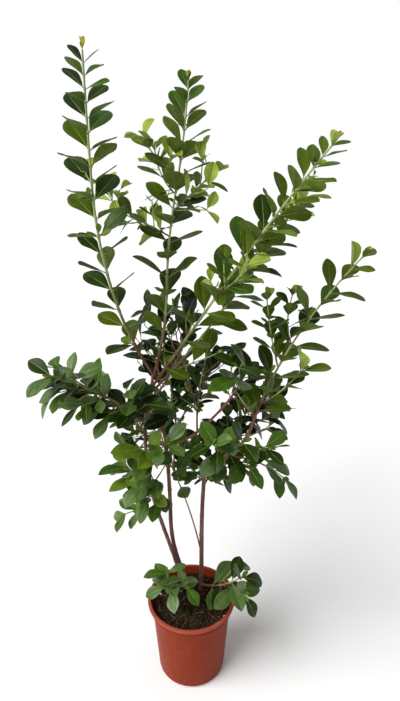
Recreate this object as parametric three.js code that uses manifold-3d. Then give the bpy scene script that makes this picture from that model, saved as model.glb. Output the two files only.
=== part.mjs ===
// A potted strawberry guava: a shrub of three stems that rise from the soil of a round plastic pot,
// with its boughs, its leafy leaders and sprays. Millimetres, +Z up, +X to the right of the viewer,
// +Y away from the viewer. The origin is the middle of the pot's flat underside.
import * as THREE from 'three';
import { mergeVertices } from 'three/addons/utils/BufferGeometryUtils.js';
import Module from 'manifold-3d';

const wasm = await Module();
wasm.setup();

// Pot
const POT_HEIGHT = 178;
const RIM_RADIUS = 90;
const LIP_HEIGHT = 6;
const LIP_ROUND = 1.5;
const COLLAR_TOP_RADIUS = 86;
const COLLAR_FOOT_RADIUS = 84;
const COLLAR_HEIGHT = 24;
const BODY_TOP_RADIUS = 80;
const BODY_FOOT_RADIUS = 69;
const FOOT_ROUND = 9;
const WALL = 2.4;
const FLOOR = 3;
const POT_SIDES = 36;
const NOTCHES = 6;
const NOTCH_WIDTH = 24;
const NOTCH_HEIGHT = 5;
const NOTCH_DEPTH = 3;
const NOTCH_START = -100;
const FOOT_ARC = [0, 30, 60, 90];

// Soil
const SOIL_TOP = 164;
const SOIL_BEVEL = 3;

// Clearances
const GAP = 0.3;
const CUT_GAP = 0.35;
const LIMB_MARGIN = 2.5;
const SPACE_MARGIN = 4;
const LEAF_MARGIN = 4.5;
const WOOD_MARGIN = 2.5;
const TWIG_MARGIN = 4;
const TWIG_PROBES = [0.3, 0.5, 0.7, 0.85, 1];
const RIM_ZONE = [70, 95];
const RIM_ZONE_TOP = 184;
const SOIL_MARGIN = 4;

// Leaf
const PETIOLE = 0.08;
const LEADER_LEAF = { width: 0.56, rise: 1.5, blunt: 0.7 };
const SPRAY_LEAF = { width: 0.5, rise: 1.25, blunt: 0.85 };
const FOLD = 0.22;
const FULL_BLADE = { rings: [0, 0.5, 0.8, 1], keel: [0, 2, 1, 0] };
const PLAIN_BLADE = { rings: [0, 0.6, 1], keel: [0, 1.7, 0] };
const FULL_FROM = 300;
const BLADE_RISE = 0.7;
const BLADE_ROOT = 0.3;
const SAMPLES = [0.32, 0.5, 0.68, 0.85];
const OUTER_SAMPLES = 3;
const LEAF_UP = 0.8;
const LEAF_AHEAD = 0.6;
const LIGHT = [0, -0.35, 0];
const DRIFT = [0, -0.12];
const LEAST_BEND = 0.001;

// Growth, where the table says nothing else
const BARE = 0.12;
const CROWD = 0.1;
const SPREAD = [55, 42];
const DROOP = 32;
const NODE_TURN = 10;
const LENGTH_RANGE = [0.9, 1.1];
const SPREAD_TURN = 7;
const DROOP_TURN = 12;
const TWIST_TURN = 14;
const TRIES = [[0, 1], [24, 1], [-24, 1], [48, 0.9], [-48, 0.9], [0, 0.75]];
const BUD_SPREAD = 16;
const SIDE_FIRST = 0.15;
const SIDE_REACH = 0.7;
const SIDE_TURN = 65;
const SIDE_ANGLE = [45, 60];
const SIDE_RANGE = [0.8, 1.15];
const SIDE_TAPER = [1.1, 0.35];
const SIDE_LIFT = 12;
const SIDE_BARE = 0.3;
const SIDE_PAIR_STEP = 20;
const SIDE_LAST_LEAF = 0.9;

// Wood
const FINE_STEPS = 48;
const LIMB_SIDES = 7;
const STEM_SIDES = 3;
const TWIG_SIDES = 3;
const LIMB_STEP = 40;
const STEM_STEP = 55;
const LONG_BARE = 30;
const FLARE = 1.5;
const FLARE_HEIGHT = 12;
const FLARE_RINGS = [7, 15];
const TWIG_SHARE = 0.75;
const TWIG_LEAST = 1.3;
const TWIG_TIP = 1;
const TIP_STUB = 2.5;

// Draws
const SEED = 2051;
const MODULUS = 2147483647;
const MULTIPLIER = 48271;

// Corners nearer than this fall together
const TINY = 1e-5;

// Each limb grows from a foot on the soil or from a share of another limb. Headings run
// anticlockwise from the right, leans from upright; both are blended evenly along the length.
const LIMBS = {
  stem_left: {
    foot: [-14, 36], heading: [-174, -153, -129], lean: [14, 15, -4], length: 425, radius: [4.2, 3.1],
  },
  stem_middle: {
    foot: [-4, 46], heading: [-178, -164, -152], lean: [24, 0, 4], length: 370, radius: [4.5, 3.6],
  },
  stem_right: {
    foot: [21, 34], heading: [-100, -60, -50], lean: [1, 1, 7], length: 310, radius: [4.8, 3.8],
  },
  bough_left: {
    on: 'stem_left', at: 1, heading: [39, 46, 53], lean: [16, 16, 9], length: 90, radius: [3.2, 2.8],
  },
  bough_middle: {
    on: 'stem_middle', at: 1, heading: [-167, -176, -177], lean: [11, 31, -18], length: 110,
    radius: [3.6, 2.9],
  },
  bough_right: {
    on: 'stem_right', at: 1, heading: [-20, -11], lean: [63, 17], length: 140, radius: [3.2, 2.4],
  },
  bough_centre: {
    on: 'stem_middle', at: 0.96, heading: [-19, -15, -6], lean: [72, 42, 36], length: 165,
    radius: [2.9, 2.1],
  },
  basal_branch_left: {
    on: 'stem_left', at: 0.04, heading: [-95, -110], lean: [50, 70], length: 32, radius: [2.4, 1.9],
  },
  basal_branch_right: {
    on: 'stem_right', at: 0.04, heading: [-70, -40], lean: [55, 60], length: 32, radius: [2.4, 1.9],
  },
};

// Each mass has one main stem with pairs of leaves, and side twigs that are named or drawn.
// bare is the share below the first pair, crowd draws the pairs together towards the tip, spread
// and leaf give the leaf's angle and length from foot to tip, phase and turn its place about the
// stem, drift a lean of all leaves towards the light, and bud is the last young pair.
const MASSES = {
  leader_far_left: {
    on: 'bough_left', at: 1, heading: [-162, -142, -83, -76], lean: [30, 15, 11, 12], length: 520,
    radius: [2.7, 1.3], pairs: 18, bare: 0.13, crowd: 0.45, leaf: [60, 62, 62, 56, 32], phase: -54,
    spread: [54, 54], droop: 14, drift: [0.1, 0], bud: 16,
  },
  leader_middle: {
    on: 'bough_left', at: 0.9, heading: [30, 30, -10, -50], lean: [21, 2, 11, 7], length: 490,
    radius: [2.6, 1.2], pairs: 17, bare: 0.1, crowd: 0.35, leaf: [64, 64, 62, 58, 36], phase: 60,
    turn: -45, spread: [56, 46], droop: 16, drift: [0.05, -0.1], bud: 14,
    twigs: [
      { at: 0.66, heading: [160, 120], lean: [50, 15], length: 80, pairs: 4, leaf: [56, 40] },
      { at: 0.6, heading: [-10, 10], lean: [45, 50], length: 90, pairs: 5, leaf: [52, 38] },
      { at: 0.52, heading: [175, 170, 150], lean: [60, 70, 20], length: 135, pairs: 6, leaf: [54, 40] },
    ],
  },
  leader_right_upper: {
    on: 'bough_middle', at: 1, heading: [-22, -24, -8], lean: [34, 34, 38], length: 520,
    radius: [2.7, 1.3], pairs: 18, bare: 0.11, crowd: 0.35, leaf: [62, 66, 64, 54, 30], phase: 62,
    spread: [54, 46], droop: 14, drift: [0, -0.1], bud: 12,
    twigs: [
      { at: 0.45, heading: [-60, -20], lean: [60, 40], length: 75, pairs: 4, leaf: [46, 34] },
    ],
  },
  leader_right_lower: {
    on: 'bough_middle', at: 0.9, heading: [20, 16, 16], lean: [49, 37, 37], length: 450,
    radius: [2.5, 1.2], pairs: 15, bare: 0.12, crowd: 0.12, leaf: [60, 64, 60, 50], phase: 40,
    spread: [54, 44], droop: 20,
    twigs: [
      { at: 0.14, heading: [0, -20], lean: [70, 60], length: 90, pairs: 4, leaf: [58, 52] },
    ],
  },
  leader_far_right: {
    on: 'bough_right', at: 1, heading: [15, 2, -10], lean: [17, 30, 40], length: 360,
    radius: [2.3, 1.1], pairs: 12, bare: 0.08, crowd: 0.2, leaf: [60, 64, 62, 54, 36], phase: 60,
    spread: [54, 46], droop: 14, drift: [0.1, -0.1], bud: 12,
    twigs: [
      { at: 0.33, heading: [170, 150], lean: [16, 8], length: 120, pairs: 7, leaf: [44, 32] },
      { at: 0.46, heading: [150, 20], lean: [24, 14], length: 85, pairs: 5, leaf: [42, 30] },
      { at: 0.05, heading: [160, 150], lean: [45, 35], length: 75, pairs: 3, leaf: [58, 52] },
      { at: 0.12, heading: [-10, 0], lean: [55, 35], length: 95, pairs: 3, leaf: [56, 52] },
    ],
  },
  spray_left: {
    on: 'stem_left', at: 0.985, heading: [-135, -149, -155], lean: [35, 52, 62], length: 210,
    radius: [2.4, 1.1], pairs: 8, bare: 0.12, crowd: 0.1, leaf: [58, 62, 56, 50], phase: 40,
    spread: [58, 42], flat: 0.4,
    twigs: [
      { at: 0.28, heading: [175, 160], lean: [62, 65], length: 75, pairs: 3, leaf: [54, 48] },
      { at: 0.5, heading: [-110, -120], lean: [72, 80], length: 60, pairs: 2, leaf: [54, 48] },
      { at: 0.66, heading: [170, 165], lean: [62, 55], length: 65, pairs: 3, leaf: [52, 46] },
    ],
  },
  spray_centre: {
    on: 'bough_centre', at: 1, heading: [-15, -13], lean: [30, 25], length: 68, radius: [2.0, 1.2],
    pairs: 4, bare: 0.1, crowd: 0, leaf: [66, 60], phase: 20, spread: [60, 45], sides: 2,
    sideLength: 65,
  },
  spray_trunk: {
    on: 'stem_left', at: 0.93, heading: [-110, -100], lean: [40, 25], length: 110, radius: [1.9, 1.1],
    pairs: 4, bare: 0.25, leaf: [62, 56], phase: 30, sides: 2, sideLength: 60,
  },
  spray_core_high: {
    on: 'bough_middle', at: 0.7, heading: [45, 20], lean: [50, 15], length: 190, radius: [1.9, 1.1],
    pairs: 7, bare: 0.2, leaf: [70, 64], phase: 0, sides: 4, sideLength: 80,
  },
  spray_core_back: {
    on: 'stem_middle', at: 0.97, heading: [60, 40], lean: [60, 50], length: 150, radius: [2.0, 1.1],
    pairs: 5, bare: 0.3, leaf: [70, 62], phase: 0, sides: 3, sideLength: 90,
  },
  spray_core_mid: {
    on: 'bough_centre', at: 0.45, heading: [95, 60], lean: [45, 30], length: 150, radius: [1.9, 1.1],
    pairs: 5, bare: 0.25, leaf: [68, 62], phase: 0, sides: 2, sideLength: 85,
  },
  spray_low_left: {
    on: 'stem_left', at: 0.52, heading: [-80, -105], lean: [25, 30], length: 150, radius: [2.1, 1.1],
    pairs: 5, bare: 0.2, leaf: [64, 60], phase: 20, sides: 3, sideLength: 70,
  },
  spray_low_front: {
    on: 'stem_middle', at: 0.82, heading: [-105, -110], lean: [45, 50], length: 150,
    radius: [2.1, 1.1], pairs: 5, bare: 0.3, leaf: [64, 60], phase: 0, sides: 3, sideLength: 75,
  },
  spray_low_right: {
    on: 'bough_right', at: 0.25, heading: [-75, -50], lean: [40, 45], length: 110, radius: [2.0, 1.1],
    pairs: 4, bare: 0.2, leaf: [62, 56], phase: 0, sides: 3, sideLength: 70,
  },
  spray_low_far_right: {
    on: 'bough_right', at: 0.42, heading: [-15, 0], lean: [85, 135], length: 110, radius: [1.8, 1.1],
    pairs: 4, bare: 0.4, leaf: [52, 48], phase: 45, flat: 0.5, sides: 1, sideLength: 50,
  },
  spray_low_tip: {
    on: 'stem_left', at: 0.4, heading: [-165, -155], lean: [5, 100], length: 105, radius: [1.8, 1.0],
    pairs: 3, bare: 0.5, leaf: [48, 44], phase: 45, flat: 0.5,
  },
  twig_low: {
    on: 'stem_right', at: 0.3, heading: [-150, -130], lean: [10, 24], length: 265, radius: [1.8, 1.1],
    pairs: 4, bare: 0.74, crowd: 0, leaf: [60, 54], phase: 0,
    twigs: [
      { at: 0.84, heading: [-110, -100], lean: [25, 30], length: 70, pairs: 3, leaf: [60, 54] },
      { at: 0.88, heading: [100, 90], lean: [45, 35], length: 65, pairs: 3, leaf: [58, 52] },
    ],
  },
  spray_back_left: {
    on: 'stem_middle', at: 0.85, heading: [105, 110], lean: [60, 65], length: 140, radius: [2.0, 1.1],
    pairs: 4, bare: 0.3, leaf: [60, 56], phase: 0, sides: 2, sideLength: 80,
  },
  spray_back_right: {
    on: 'bough_right', at: 0.35, heading: [65, 65], lean: [70, 60], length: 150, radius: [2.0, 1.1],
    pairs: 4, bare: 0.25, leaf: [60, 56], phase: 0, sides: 3, sideLength: 80,
  },
  spray_back_low: {
    on: 'stem_right', at: 0.85, heading: [75, 75], lean: [100, 65], length: 120, radius: [1.9, 1.1],
    pairs: 4, bare: 0.3, leaf: [60, 56], phase: 0, sides: 3, sideLength: 75,
  },
  basal_left: {
    on: 'basal_branch_left', at: 1, heading: [-115, -150], lean: [60, 55], length: 48,
    radius: [1.8, 1.2], pairs: 3, bare: 0.15, leaf: [56, 52], phase: 45, spread: [75, 60], sides: 2,
    sideLength: 40,
  },
  basal_right: {
    on: 'basal_branch_right', at: 1, heading: [-45, -10], lean: [60, 48], length: 90,
    radius: [1.8, 1.2], pairs: 4, bare: 0.12, leaf: [68, 60], phase: 45, spread: [75, 55], sides: 2,
    sideLength: 50,
  },
};

const UP = new THREE.Vector3(0, 0, 1);

let drawState = SEED;

function between(low, high) {
  drawState = (drawState * MULTIPLIER) % MODULUS;
  return low + (high - low) * drawState / MODULUS;
}

function radians(degrees) {
  return degrees * Math.PI / 180;
}

function degrees(angle) {
  return angle * 180 / Math.PI;
}

// The point at origin + a * u + b * v.
function combine(u, a, v, b) {
  return u.clone().multiplyScalar(a).addScaledVector(v, b);
}

function direction(heading, lean) {
  const h = radians(heading);
  const l = radians(lean);
  return new THREE.Vector3(Math.cos(h) * Math.sin(l), Math.sin(h) * Math.sin(l), Math.cos(l));
}

function blend(values, share) {
  const x = Math.min(Math.max(share, 0), 1) * (values.length - 1);
  const i = Math.min(Math.floor(x), values.length - 2);
  return values[i] + (values[i + 1] - values[i]) * (x - i);
}

function along(line, share) {
  const x = Math.min(Math.max(share, 0), 1) * (line.length - 1);
  const i = Math.min(Math.floor(x), line.length - 2);
  return line[i].clone().lerp(line[i + 1], x - i);
}

function directionAt(spec, share) {
  return direction(blend(spec.heading, share), blend(spec.lean, share));
}

function stemLine(start, spec) {
  const line = [start.clone()];
  for (let k = 0; k < FINE_STEPS; k++) {
    const step = directionAt(spec, (k + 0.5) / FINE_STEPS);
    line.push(line[k].clone().addScaledVector(step, spec.length / FINE_STEPS));
  }
  return line;
}

function nodeShares(spec) {
  const bare = spec.bare ?? BARE;
  const crowd = spec.crowd ?? CROWD;
  const end = 1 - (spec.bud ?? 0) / spec.length;
  const shares = [];
  for (let j = 0; j < spec.pairs; j++) {
    const s = j / (spec.pairs - 1);
    shares.push(bare + (end - bare) * (s * (1 + crowd) - crowd * s * s));
  }
  return shares;
}

function limbShares(spec) {
  const count = Math.max(3, Math.round(spec.length / LIMB_STEP));
  const shares = [0];
  if (spec.foot) FLARE_RINGS.forEach((height) => shares.push(height / spec.length));
  for (let k = 1; k <= count; k++) shares.push(k / count);
  return shares;
}

// A direction across the stem at each share, carried up it without turning about it.
function sidesAt(spec, shares) {
  const h = radians(spec.heading[0]);
  let side = new THREE.Vector3(-Math.sin(h), Math.cos(h), 0);
  return shares.map((share) => {
    const t = directionAt(spec, share);
    side = side.clone().addScaledVector(t, -side.dot(t)).normalize();
    return side;
  });
}

function makeStem(owner, start, spec, radius) {
  const line = stemLine(start, spec);
  const nodes = spec.pairs ? nodeShares(spec) : [];
  let shares = limbShares(spec);
  if (nodes.length) {
    shares = [0, ...nodes];
    if (nodes[0] * spec.length > LONG_BARE) shares.splice(1, 0, nodes[0] / 2);
    if (spec.bud) shares.push(1);
  }
  const points = shares.map((share) => along(line, share));
  const sides = sidesAt(spec, shares);
  return { owner, spec, radius, line, nodes, shares, points, sides };
}

function radiusAt(stem, share) {
  return stem.radius[0] + (stem.radius[1] - stem.radius[0]) * share;
}

// Wood of every stem, as straight pieces that leaves and twigs keep clear of.
const wood = [];

function addWood(stem) {
  for (let i = 0; i + 1 < stem.points.length; i++) {
    const radius = Math.max(radiusAt(stem, stem.shares[i]), radiusAt(stem, stem.shares[i + 1]));
    wood.push({ line: new THREE.Line3(stem.points[i], stem.points[i + 1]), radius, owner: stem.owner });
  }
}

const nearest = new THREE.Vector3();

function distanceTo(piece, point) {
  piece.line.closestPointToPoint(point, true, nearest);
  return nearest.distanceTo(point);
}

function isLimb(owner) {
  return owner in LIMBS;
}

const stems = {};

function rootOf(spec) {
  if (spec.foot) return new THREE.Vector3(spec.foot[0], spec.foot[1], SOIL_TOP + GAP);
  return along(stems[spec.on].line, spec.at);
}

for (const [name, spec] of Object.entries({ ...LIMBS, ...MASSES })) {
  stems[name] = makeStem(name, rootOf(spec), spec, spec.radius);
  addWood(stems[name]);
}

// One drawn side twig: left and right in turn, leaning out from the main stem and rising again.
function drawTwig(spec, k) {
  const share = SIDE_FIRST + SIDE_REACH * (k + 0.5) / spec.sides;
  const t = directionAt(spec, share);
  const h = radians(blend(spec.heading, share));
  const side = new THREE.Vector3(-Math.sin(h), Math.cos(h), 0);
  const rise = t.clone().cross(side);
  const phi = radians(90 + 180 * k + between(-SIDE_TURN, SIDE_TURN));
  const out = combine(side, Math.sin(phi), rise, Math.cos(phi) * (1 - (spec.flat ?? 0))).normalize();
  const a = radians(between(...SIDE_ANGLE));
  const d = combine(t, Math.cos(a), out, Math.sin(a)).normalize();
  const lean = degrees(Math.acos(d.z));
  const heading = degrees(Math.atan2(d.y, d.x));
  const length = spec.sideLength * between(...SIDE_RANGE) * (SIDE_TAPER[0] - SIDE_TAPER[1] * share);
  return {
    at: share,
    heading: [heading, heading],
    lean: [lean, lean - SIDE_LIFT],
    length,
    pairs: Math.max(2, Math.round(length / SIDE_PAIR_STEP)),
    bare: SIDE_BARE,
    leaf: [spec.leaf[0], spec.leaf[spec.leaf.length - 1] * SIDE_LAST_LEAF],
  };
}

function twigIsClear(stem) {
  return TWIG_PROBES.every((share) => {
    const point = along(stem.line, share);
    return wood.every((piece) => piece.owner === stem.owner
      || distanceTo(piece, point) - piece.radius >= TWIG_MARGIN);
  });
}

const grown = {};

for (const [name, spec] of Object.entries(MASSES)) {
  const main = stems[name];
  grown[name] = [main];
  const twigs = [...(spec.twigs ?? [])];
  for (let k = 0; k < (spec.sides ?? 0); k++) twigs.push(drawTwig(spec, k));
  for (const twig of twigs) {
    const radius = Math.max(radiusAt(main, twig.at) * TWIG_SHARE, TWIG_LEAST);
    const stem = makeStem(name, along(main.line, twig.at), twig, [radius, TWIG_TIP]);
    if (twigIsClear(stem)) {
      addWood(stem);
      grown[name].push(stem);
    }
  }
}

// A leaf bends down along an arc and is folded a little along its middle.
class Leaf {
  constructor(stem, index, d, length, droop, twist) {
    const t = directionAt(stem.spec, stem.shares[index]);
    this.root = stem.points[index];
    this.sunk = radiusAt(stem, stem.shares[index]) * BLADE_ROOT;
    this.shape = stem.spec.length > FULL_FROM ? FULL_BLADE : PLAIN_BLADE;
    this.length = length;
    this.form = stem.owner.startsWith('leader') ? LEADER_LEAF : SPRAY_LEAF;
    this.width = length * this.form.width;
    this.d = d.clone().normalize();
    const up = new THREE.Vector3(...LIGHT).addScaledVector(UP, LEAF_UP).addScaledVector(t, LEAF_AHEAD);
    const n = up.addScaledVector(this.d, -up.dot(this.d)).normalize();
    const side = this.d.clone().cross(n);
    const c = Math.cos(radians(twist));
    const s = Math.sin(radians(twist));
    this.n = combine(n, c, side, s);
    this.side = combine(side, c, n, -s);
    this.bend = Math.max(Math.abs(radians(droop)), LEAST_BEND) * (droop < 0 ? -1 : 1);
  }

  middle(s) {
    const forward = this.length * Math.sin(this.bend * s) / this.bend;
    const down = this.length * (1 - Math.cos(this.bend * s)) / this.bend;
    return this.root.clone().addScaledVector(this.d, forward).addScaledVector(this.n, -down);
  }

  normal(s) {
    return combine(this.n, Math.cos(this.bend * s), this.d, Math.sin(this.bend * s));
  }

  half(s) {
    const u = Math.max((s - PETIOLE) / (1 - PETIOLE), 0);
    const { rise, blunt } = this.form;
    return this.width / 2 * Math.max(Math.sin(Math.PI * u ** rise), 0) ** blunt;
  }

  edge(s, sign, fold) {
    const w = this.half(s);
    return this.middle(s).addScaledVector(this.side, sign * w).addScaledVector(this.normal(s), fold * w);
  }

  samples() {
    const points = [];
    for (const s of SAMPLES) points.push(this.middle(s), this.edge(s, 1, FOLD), this.edge(s, -1, FOLD));
    points.push(this.middle(1));
    return points;
  }
}

function clearOfPot(point) {
  const r = Math.hypot(point.x, point.y);
  if (point.z < SOIL_TOP + SOIL_MARGIN && r < RIM_ZONE[1]) return false;
  if (point.z < RIM_ZONE_TOP && r > RIM_ZONE[0] && r < RIM_ZONE[1]) return false;
  return point.z > SOIL_MARGIN;
}

// A leaf keeps off the pot and the limbs, stays nearer to its own wood than to any other mass,
// and clears its own twigs and the leaves before it.
function leafIsClear(points, owner, kept) {
  if (!points.every(clearOfPot)) return false;
  let leastSpace = Infinity;
  for (let i = 0; i < points.length; i++) {
    let own = Infinity;
    let other = Infinity;
    for (const piece of wood) {
      const distance = distanceTo(piece, points[i]);
      if (piece.owner === owner) own = Math.min(own, distance);
      else if (!isLimb(piece.owner)) other = Math.min(other, distance);
      else if (distance - piece.radius < LIMB_MARGIN) return false;
    }
    if (i >= OUTER_SAMPLES && own < WOOD_MARGIN) return false;
    leastSpace = Math.min(leastSpace, other - own);
  }
  if (leastSpace < SPACE_MARGIN) return false;
  return kept.every((other) => points.every((point) => point.distanceTo(other) >= LEAF_MARGIN));
}

function growLeaves(name) {
  const spec = MASSES[name];
  const leaves = [];
  const kept = [];
  grown[name].forEach((stem, order) => {
    const own = stem.spec;
    const spread = own.spread ?? spec.spread ?? SPREAD;
    const droop = own.droop ?? spec.droop ?? DROOP;
    const flat = own.flat ?? spec.flat ?? 0;
    const drift = new THREE.Vector3(...(spec.drift ?? DRIFT), 0);
    const drawn = order > 0 ? between(0, 90) : 0;
    const phase = own.phase ?? drawn;
    stem.nodes.forEach((share, j) => {
      const index = stem.shares.indexOf(share);
      const t = directionAt(own, share);
      const side = stem.sides[index];
      const rise = t.clone().cross(side);
      const part = j / (stem.nodes.length - 1);
      const base = phase + 90 * j + (own.turn ?? 0) * part + between(-NODE_TURN, NODE_TURN);
      for (const half of [0, 180]) {
        const length = blend(own.leaf, part) * between(...LENGTH_RANGE);
        const a = radians(blend(spread, part) + between(-SPREAD_TURN, SPREAD_TURN));
        const bend = droop + between(-DROOP_TURN, DROOP_TURN);
        const twist = between(-TWIST_TURN, TWIST_TURN);
        for (const [turn, size] of TRIES) {
          const phi = radians(base + half + turn);
          const out = combine(side, Math.cos(phi), rise, Math.sin(phi) * (1 - flat)).normalize();
          const d = combine(t, Math.cos(a), out, Math.sin(a)).add(drift);
          const leaf = new Leaf(stem, index, d, length * size, bend, twist);
          const points = leaf.samples();
          if (leafIsClear(points, name, kept)) {
            leaves.push(leaf);
            kept.push(...points);
            break;
          }
        }
      }
    });
  });
  return leaves;
}

// The last young pair of a leader, closed over its tip.
function budLeaves(stem) {
  if (!stem.spec.bud) return [];
  const last = stem.points.length - 1;
  const t = directionAt(stem.spec, 1);
  const side = stem.sides[last];
  const rise = t.clone().cross(side);
  return [0, 180].map((half) => {
    const phi = radians(stem.spec.phase + 90 * stem.nodes.length + half);
    const out = combine(side, Math.cos(phi), rise, Math.sin(phi));
    const a = radians(BUD_SPREAD);
    const d = combine(t, Math.cos(a), out, Math.sin(a));
    return new Leaf(stem, last, d, stem.spec.bud, 0, 0);
  });
}

// A closed geometry, its shared corners merged, with each corner moved by the given function.
function solidFrom(geometry, place) {
  geometry.deleteAttribute('normal');
  geometry.deleteAttribute('uv');
  const merged = mergeVertices(geometry, TINY);
  const position = merged.getAttribute('position');
  const corner = new THREE.Vector3();
  for (let i = 0; i < position.count; i++) {
    corner.fromBufferAttribute(position, i);
    position.setXYZ(i, ...place(corner).toArray());
  }
  return new wasm.Manifold(new wasm.Mesh({
    numProp: 3,
    vertProperties: new Float32Array(position.array),
    triVerts: new Uint32Array(merged.getIndex().array),
  }));
}

// A limb has a ring at each of its shares, a leafy stem has them evenly, two steps at least.
function ringShares(stem) {
  if (!stem.nodes.length) return stem.shares;
  const count = Math.max(2, Math.round(stem.spec.length / STEM_STEP));
  return Array.from({ length: count + 1 }, (_, k) => k / count);
}

// A tapering round stem: a cylinder bent along its line. A stem with a foot stands flat and
// flares there. Grown by some amount it is the space that its neighbours are cut to.
function tube(stem, sides, grow) {
  const shares = ringShares(stem);
  const across = sidesAt(stem.spec, shares);
  const rings = shares.length - 1;
  const stub = stem.nodes.length ? TIP_STUB : 0;
  const geometry = new THREE.CylinderGeometry(1, 1, 1, sides, rings);
  return solidFrom(geometry, (corner) => {
    const i = Math.round((corner.y + 0.5) * rings);
    const t = directionAt(stem.spec, shares[i]);
    const center = along(stem.line, shares[i]);
    let radius = radiusAt(stem, shares[i]) + grow;
    if (stem.spec.foot) radius += FLARE * Math.exp(-(center.z - stem.points[0].z) / FLARE_HEIGHT);
    if (i === 0) center.addScaledVector(t, -grow);
    if (i === rings) center.addScaledVector(t, grow + stub);
    center.addScaledVector(across[i], corner.x * radius);
    center.addScaledVector(across[i].clone().cross(t), corner.z * radius);
    if (i === 0 && stem.spec.foot) center.z = stem.points[0].z - grow;
    return center;
  });
}

// A leaf's solid: a three-sided sphere, flattened so that two corners are its edges and one its
// keel. It starts as a point inside the stem, past its middle. Leaders have the fuller leaves.
function blade(leaf) {
  const rings = leaf.shape.rings.length - 1;
  return solidFrom(new THREE.SphereGeometry(1, 3, rings), (corner) => {
    const i = Math.round(Math.acos(-corner.y) / Math.PI * rings);
    const s = leaf.shape.rings[i];
    const center = leaf.middle(s);
    if (i === 0) return center.addScaledVector(leaf.d, -leaf.sunk);
    if (i === rings) return center;
    if (Math.abs(corner.z) > TINY) {
      center.addScaledVector(leaf.side, -Math.sign(corner.z) * leaf.half(s));
      return center.addScaledVector(leaf.normal(s), BLADE_RISE);
    }
    return center.addScaledVector(leaf.normal(s), -leaf.shape.keel[i]);
  });
}

function boxesMeet(a, b) {
  const p = a.boundingBox();
  const q = b.boundingBox();
  return [0, 1, 2].every((axis) => p.min[axis] <= q.max[axis] && q.min[axis] <= p.max[axis]);
}

// The body without what reaches into the given spaces, and without loose scraps.
function cutClear(body, spaces) {
  let left = body;
  for (const space of spaces) {
    if (boxesMeet(left, space)) left = left.subtract(space);
  }
  const pieces = left.decompose();
  return pieces.reduce((best, piece) => (piece.volume() > best.volume() ? piece : best));
}

function asMesh(name, solid, origin, material) {
  const data = solid.getMesh();
  const geometry = new THREE.BufferGeometry();
  geometry.setAttribute('position', new THREE.BufferAttribute(data.vertProperties, 3));
  geometry.setIndex(new THREE.BufferAttribute(data.triVerts, 1));
  geometry.translate(-origin.x, -origin.y, -origin.z);
  const mesh = new THREE.Mesh(geometry, material);
  mesh.name = name;
  mesh.position.copy(origin);
  return mesh;
}

const bark = new THREE.MeshStandardMaterial({ color: 0x6b4a3a, roughness: 0.75, metalness: 0 });
const foliage = new THREE.MeshStandardMaterial({ color: 0x4f6b2c, roughness: 0.5, metalness: 0 });
const terracotta = new THREE.MeshStandardMaterial({ color: 0xa5543f, roughness: 0.45, metalness: 0 });
const earth = new THREE.MeshStandardMaterial({ color: 0x2c211a, roughness: 1, metalness: 0 });

const plant = new THREE.Group();
plant.name = 'strawberry_guava';
const spaces = [];

for (const name of Object.keys(LIMBS)) {
  const stem = stems[name];
  plant.add(asMesh(name, cutClear(tube(stem, LIMB_SIDES, 0), spaces), stem.points[0], bark));
  spaces.push(tube(stem, LIMB_SIDES, CUT_GAP));
}

for (const name of Object.keys(MASSES)) {
  const main = stems[name];
  const pieces = [tube(main, STEM_SIDES, 0)];
  grown[name].slice(1).forEach((stem) => pieces.push(tube(stem, TWIG_SIDES, 0)));
  [...growLeaves(name), ...budLeaves(main)].forEach((leaf) => pieces.push(blade(leaf)));
  const body = cutClear(wasm.Manifold.union(pieces), spaces);
  plant.add(asMesh(name, body, main.points[0], foliage));
  spaces.push(tube(main, STEM_SIDES, CUT_GAP));
}

// Pot: outside and inside in one closed outline, turned about the axis.
function turned(outline) {
  return new THREE.LatheGeometry(outline.map(([r, z]) => new THREE.Vector2(r, z)), POT_SIDES);
}

function roundedFoot() {
  const arc = [];
  for (const turn of FOOT_ARC) {
    const a = radians(turn);
    const r = BODY_FOOT_RADIUS - FOOT_ROUND + FOOT_ROUND * Math.sin(a);
    arc.push([r, FOOT_ROUND - FOOT_ROUND * Math.cos(a)]);
  }
  return arc;
}

const collarFoot = POT_HEIGHT - COLLAR_HEIGHT;
const lipFoot = POT_HEIGHT - LIP_HEIGHT;
const outside = [
  [0, 0],
  ...roundedFoot(),
  [BODY_TOP_RADIUS, collarFoot],
  [COLLAR_FOOT_RADIUS, collarFoot],
  [COLLAR_TOP_RADIUS, lipFoot],
  [RIM_RADIUS, lipFoot],
  [RIM_RADIUS, POT_HEIGHT - LIP_ROUND],
  [RIM_RADIUS - LIP_ROUND, POT_HEIGHT],
];
const wallTop = COLLAR_TOP_RADIUS - WALL;
const wallFold = BODY_TOP_RADIUS - WALL;
const wallFoot = BODY_FOOT_RADIUS - WALL;
const inside = [
  [wallTop, POT_HEIGHT],
  [wallFold, collarFoot],
  [wallFoot, FOOT_ROUND],
  [wallFoot - FOOT_ROUND + FLOOR, FLOOR],
  [0, FLOOR],
];

function innerRadius(z) {
  const low = z < collarFoot;
  const [foot, top] = low ? [wallFoot, wallFold] : [wallFold, wallTop];
  const [z0, z1] = low ? [FOOT_ROUND, collarFoot] : [collarFoot, POT_HEIGHT];
  return foot + (top - foot) * (z - z0) / (z1 - z0);
}

// The lathe turns its outline about Y, so the solid is stood up onto Z.
function standing(geometry) {
  return solidFrom(geometry, (corner) => new THREE.Vector3(corner.x, -corner.z, corner.y));
}

let pot = standing(turned([...outside, ...inside]));

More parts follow.
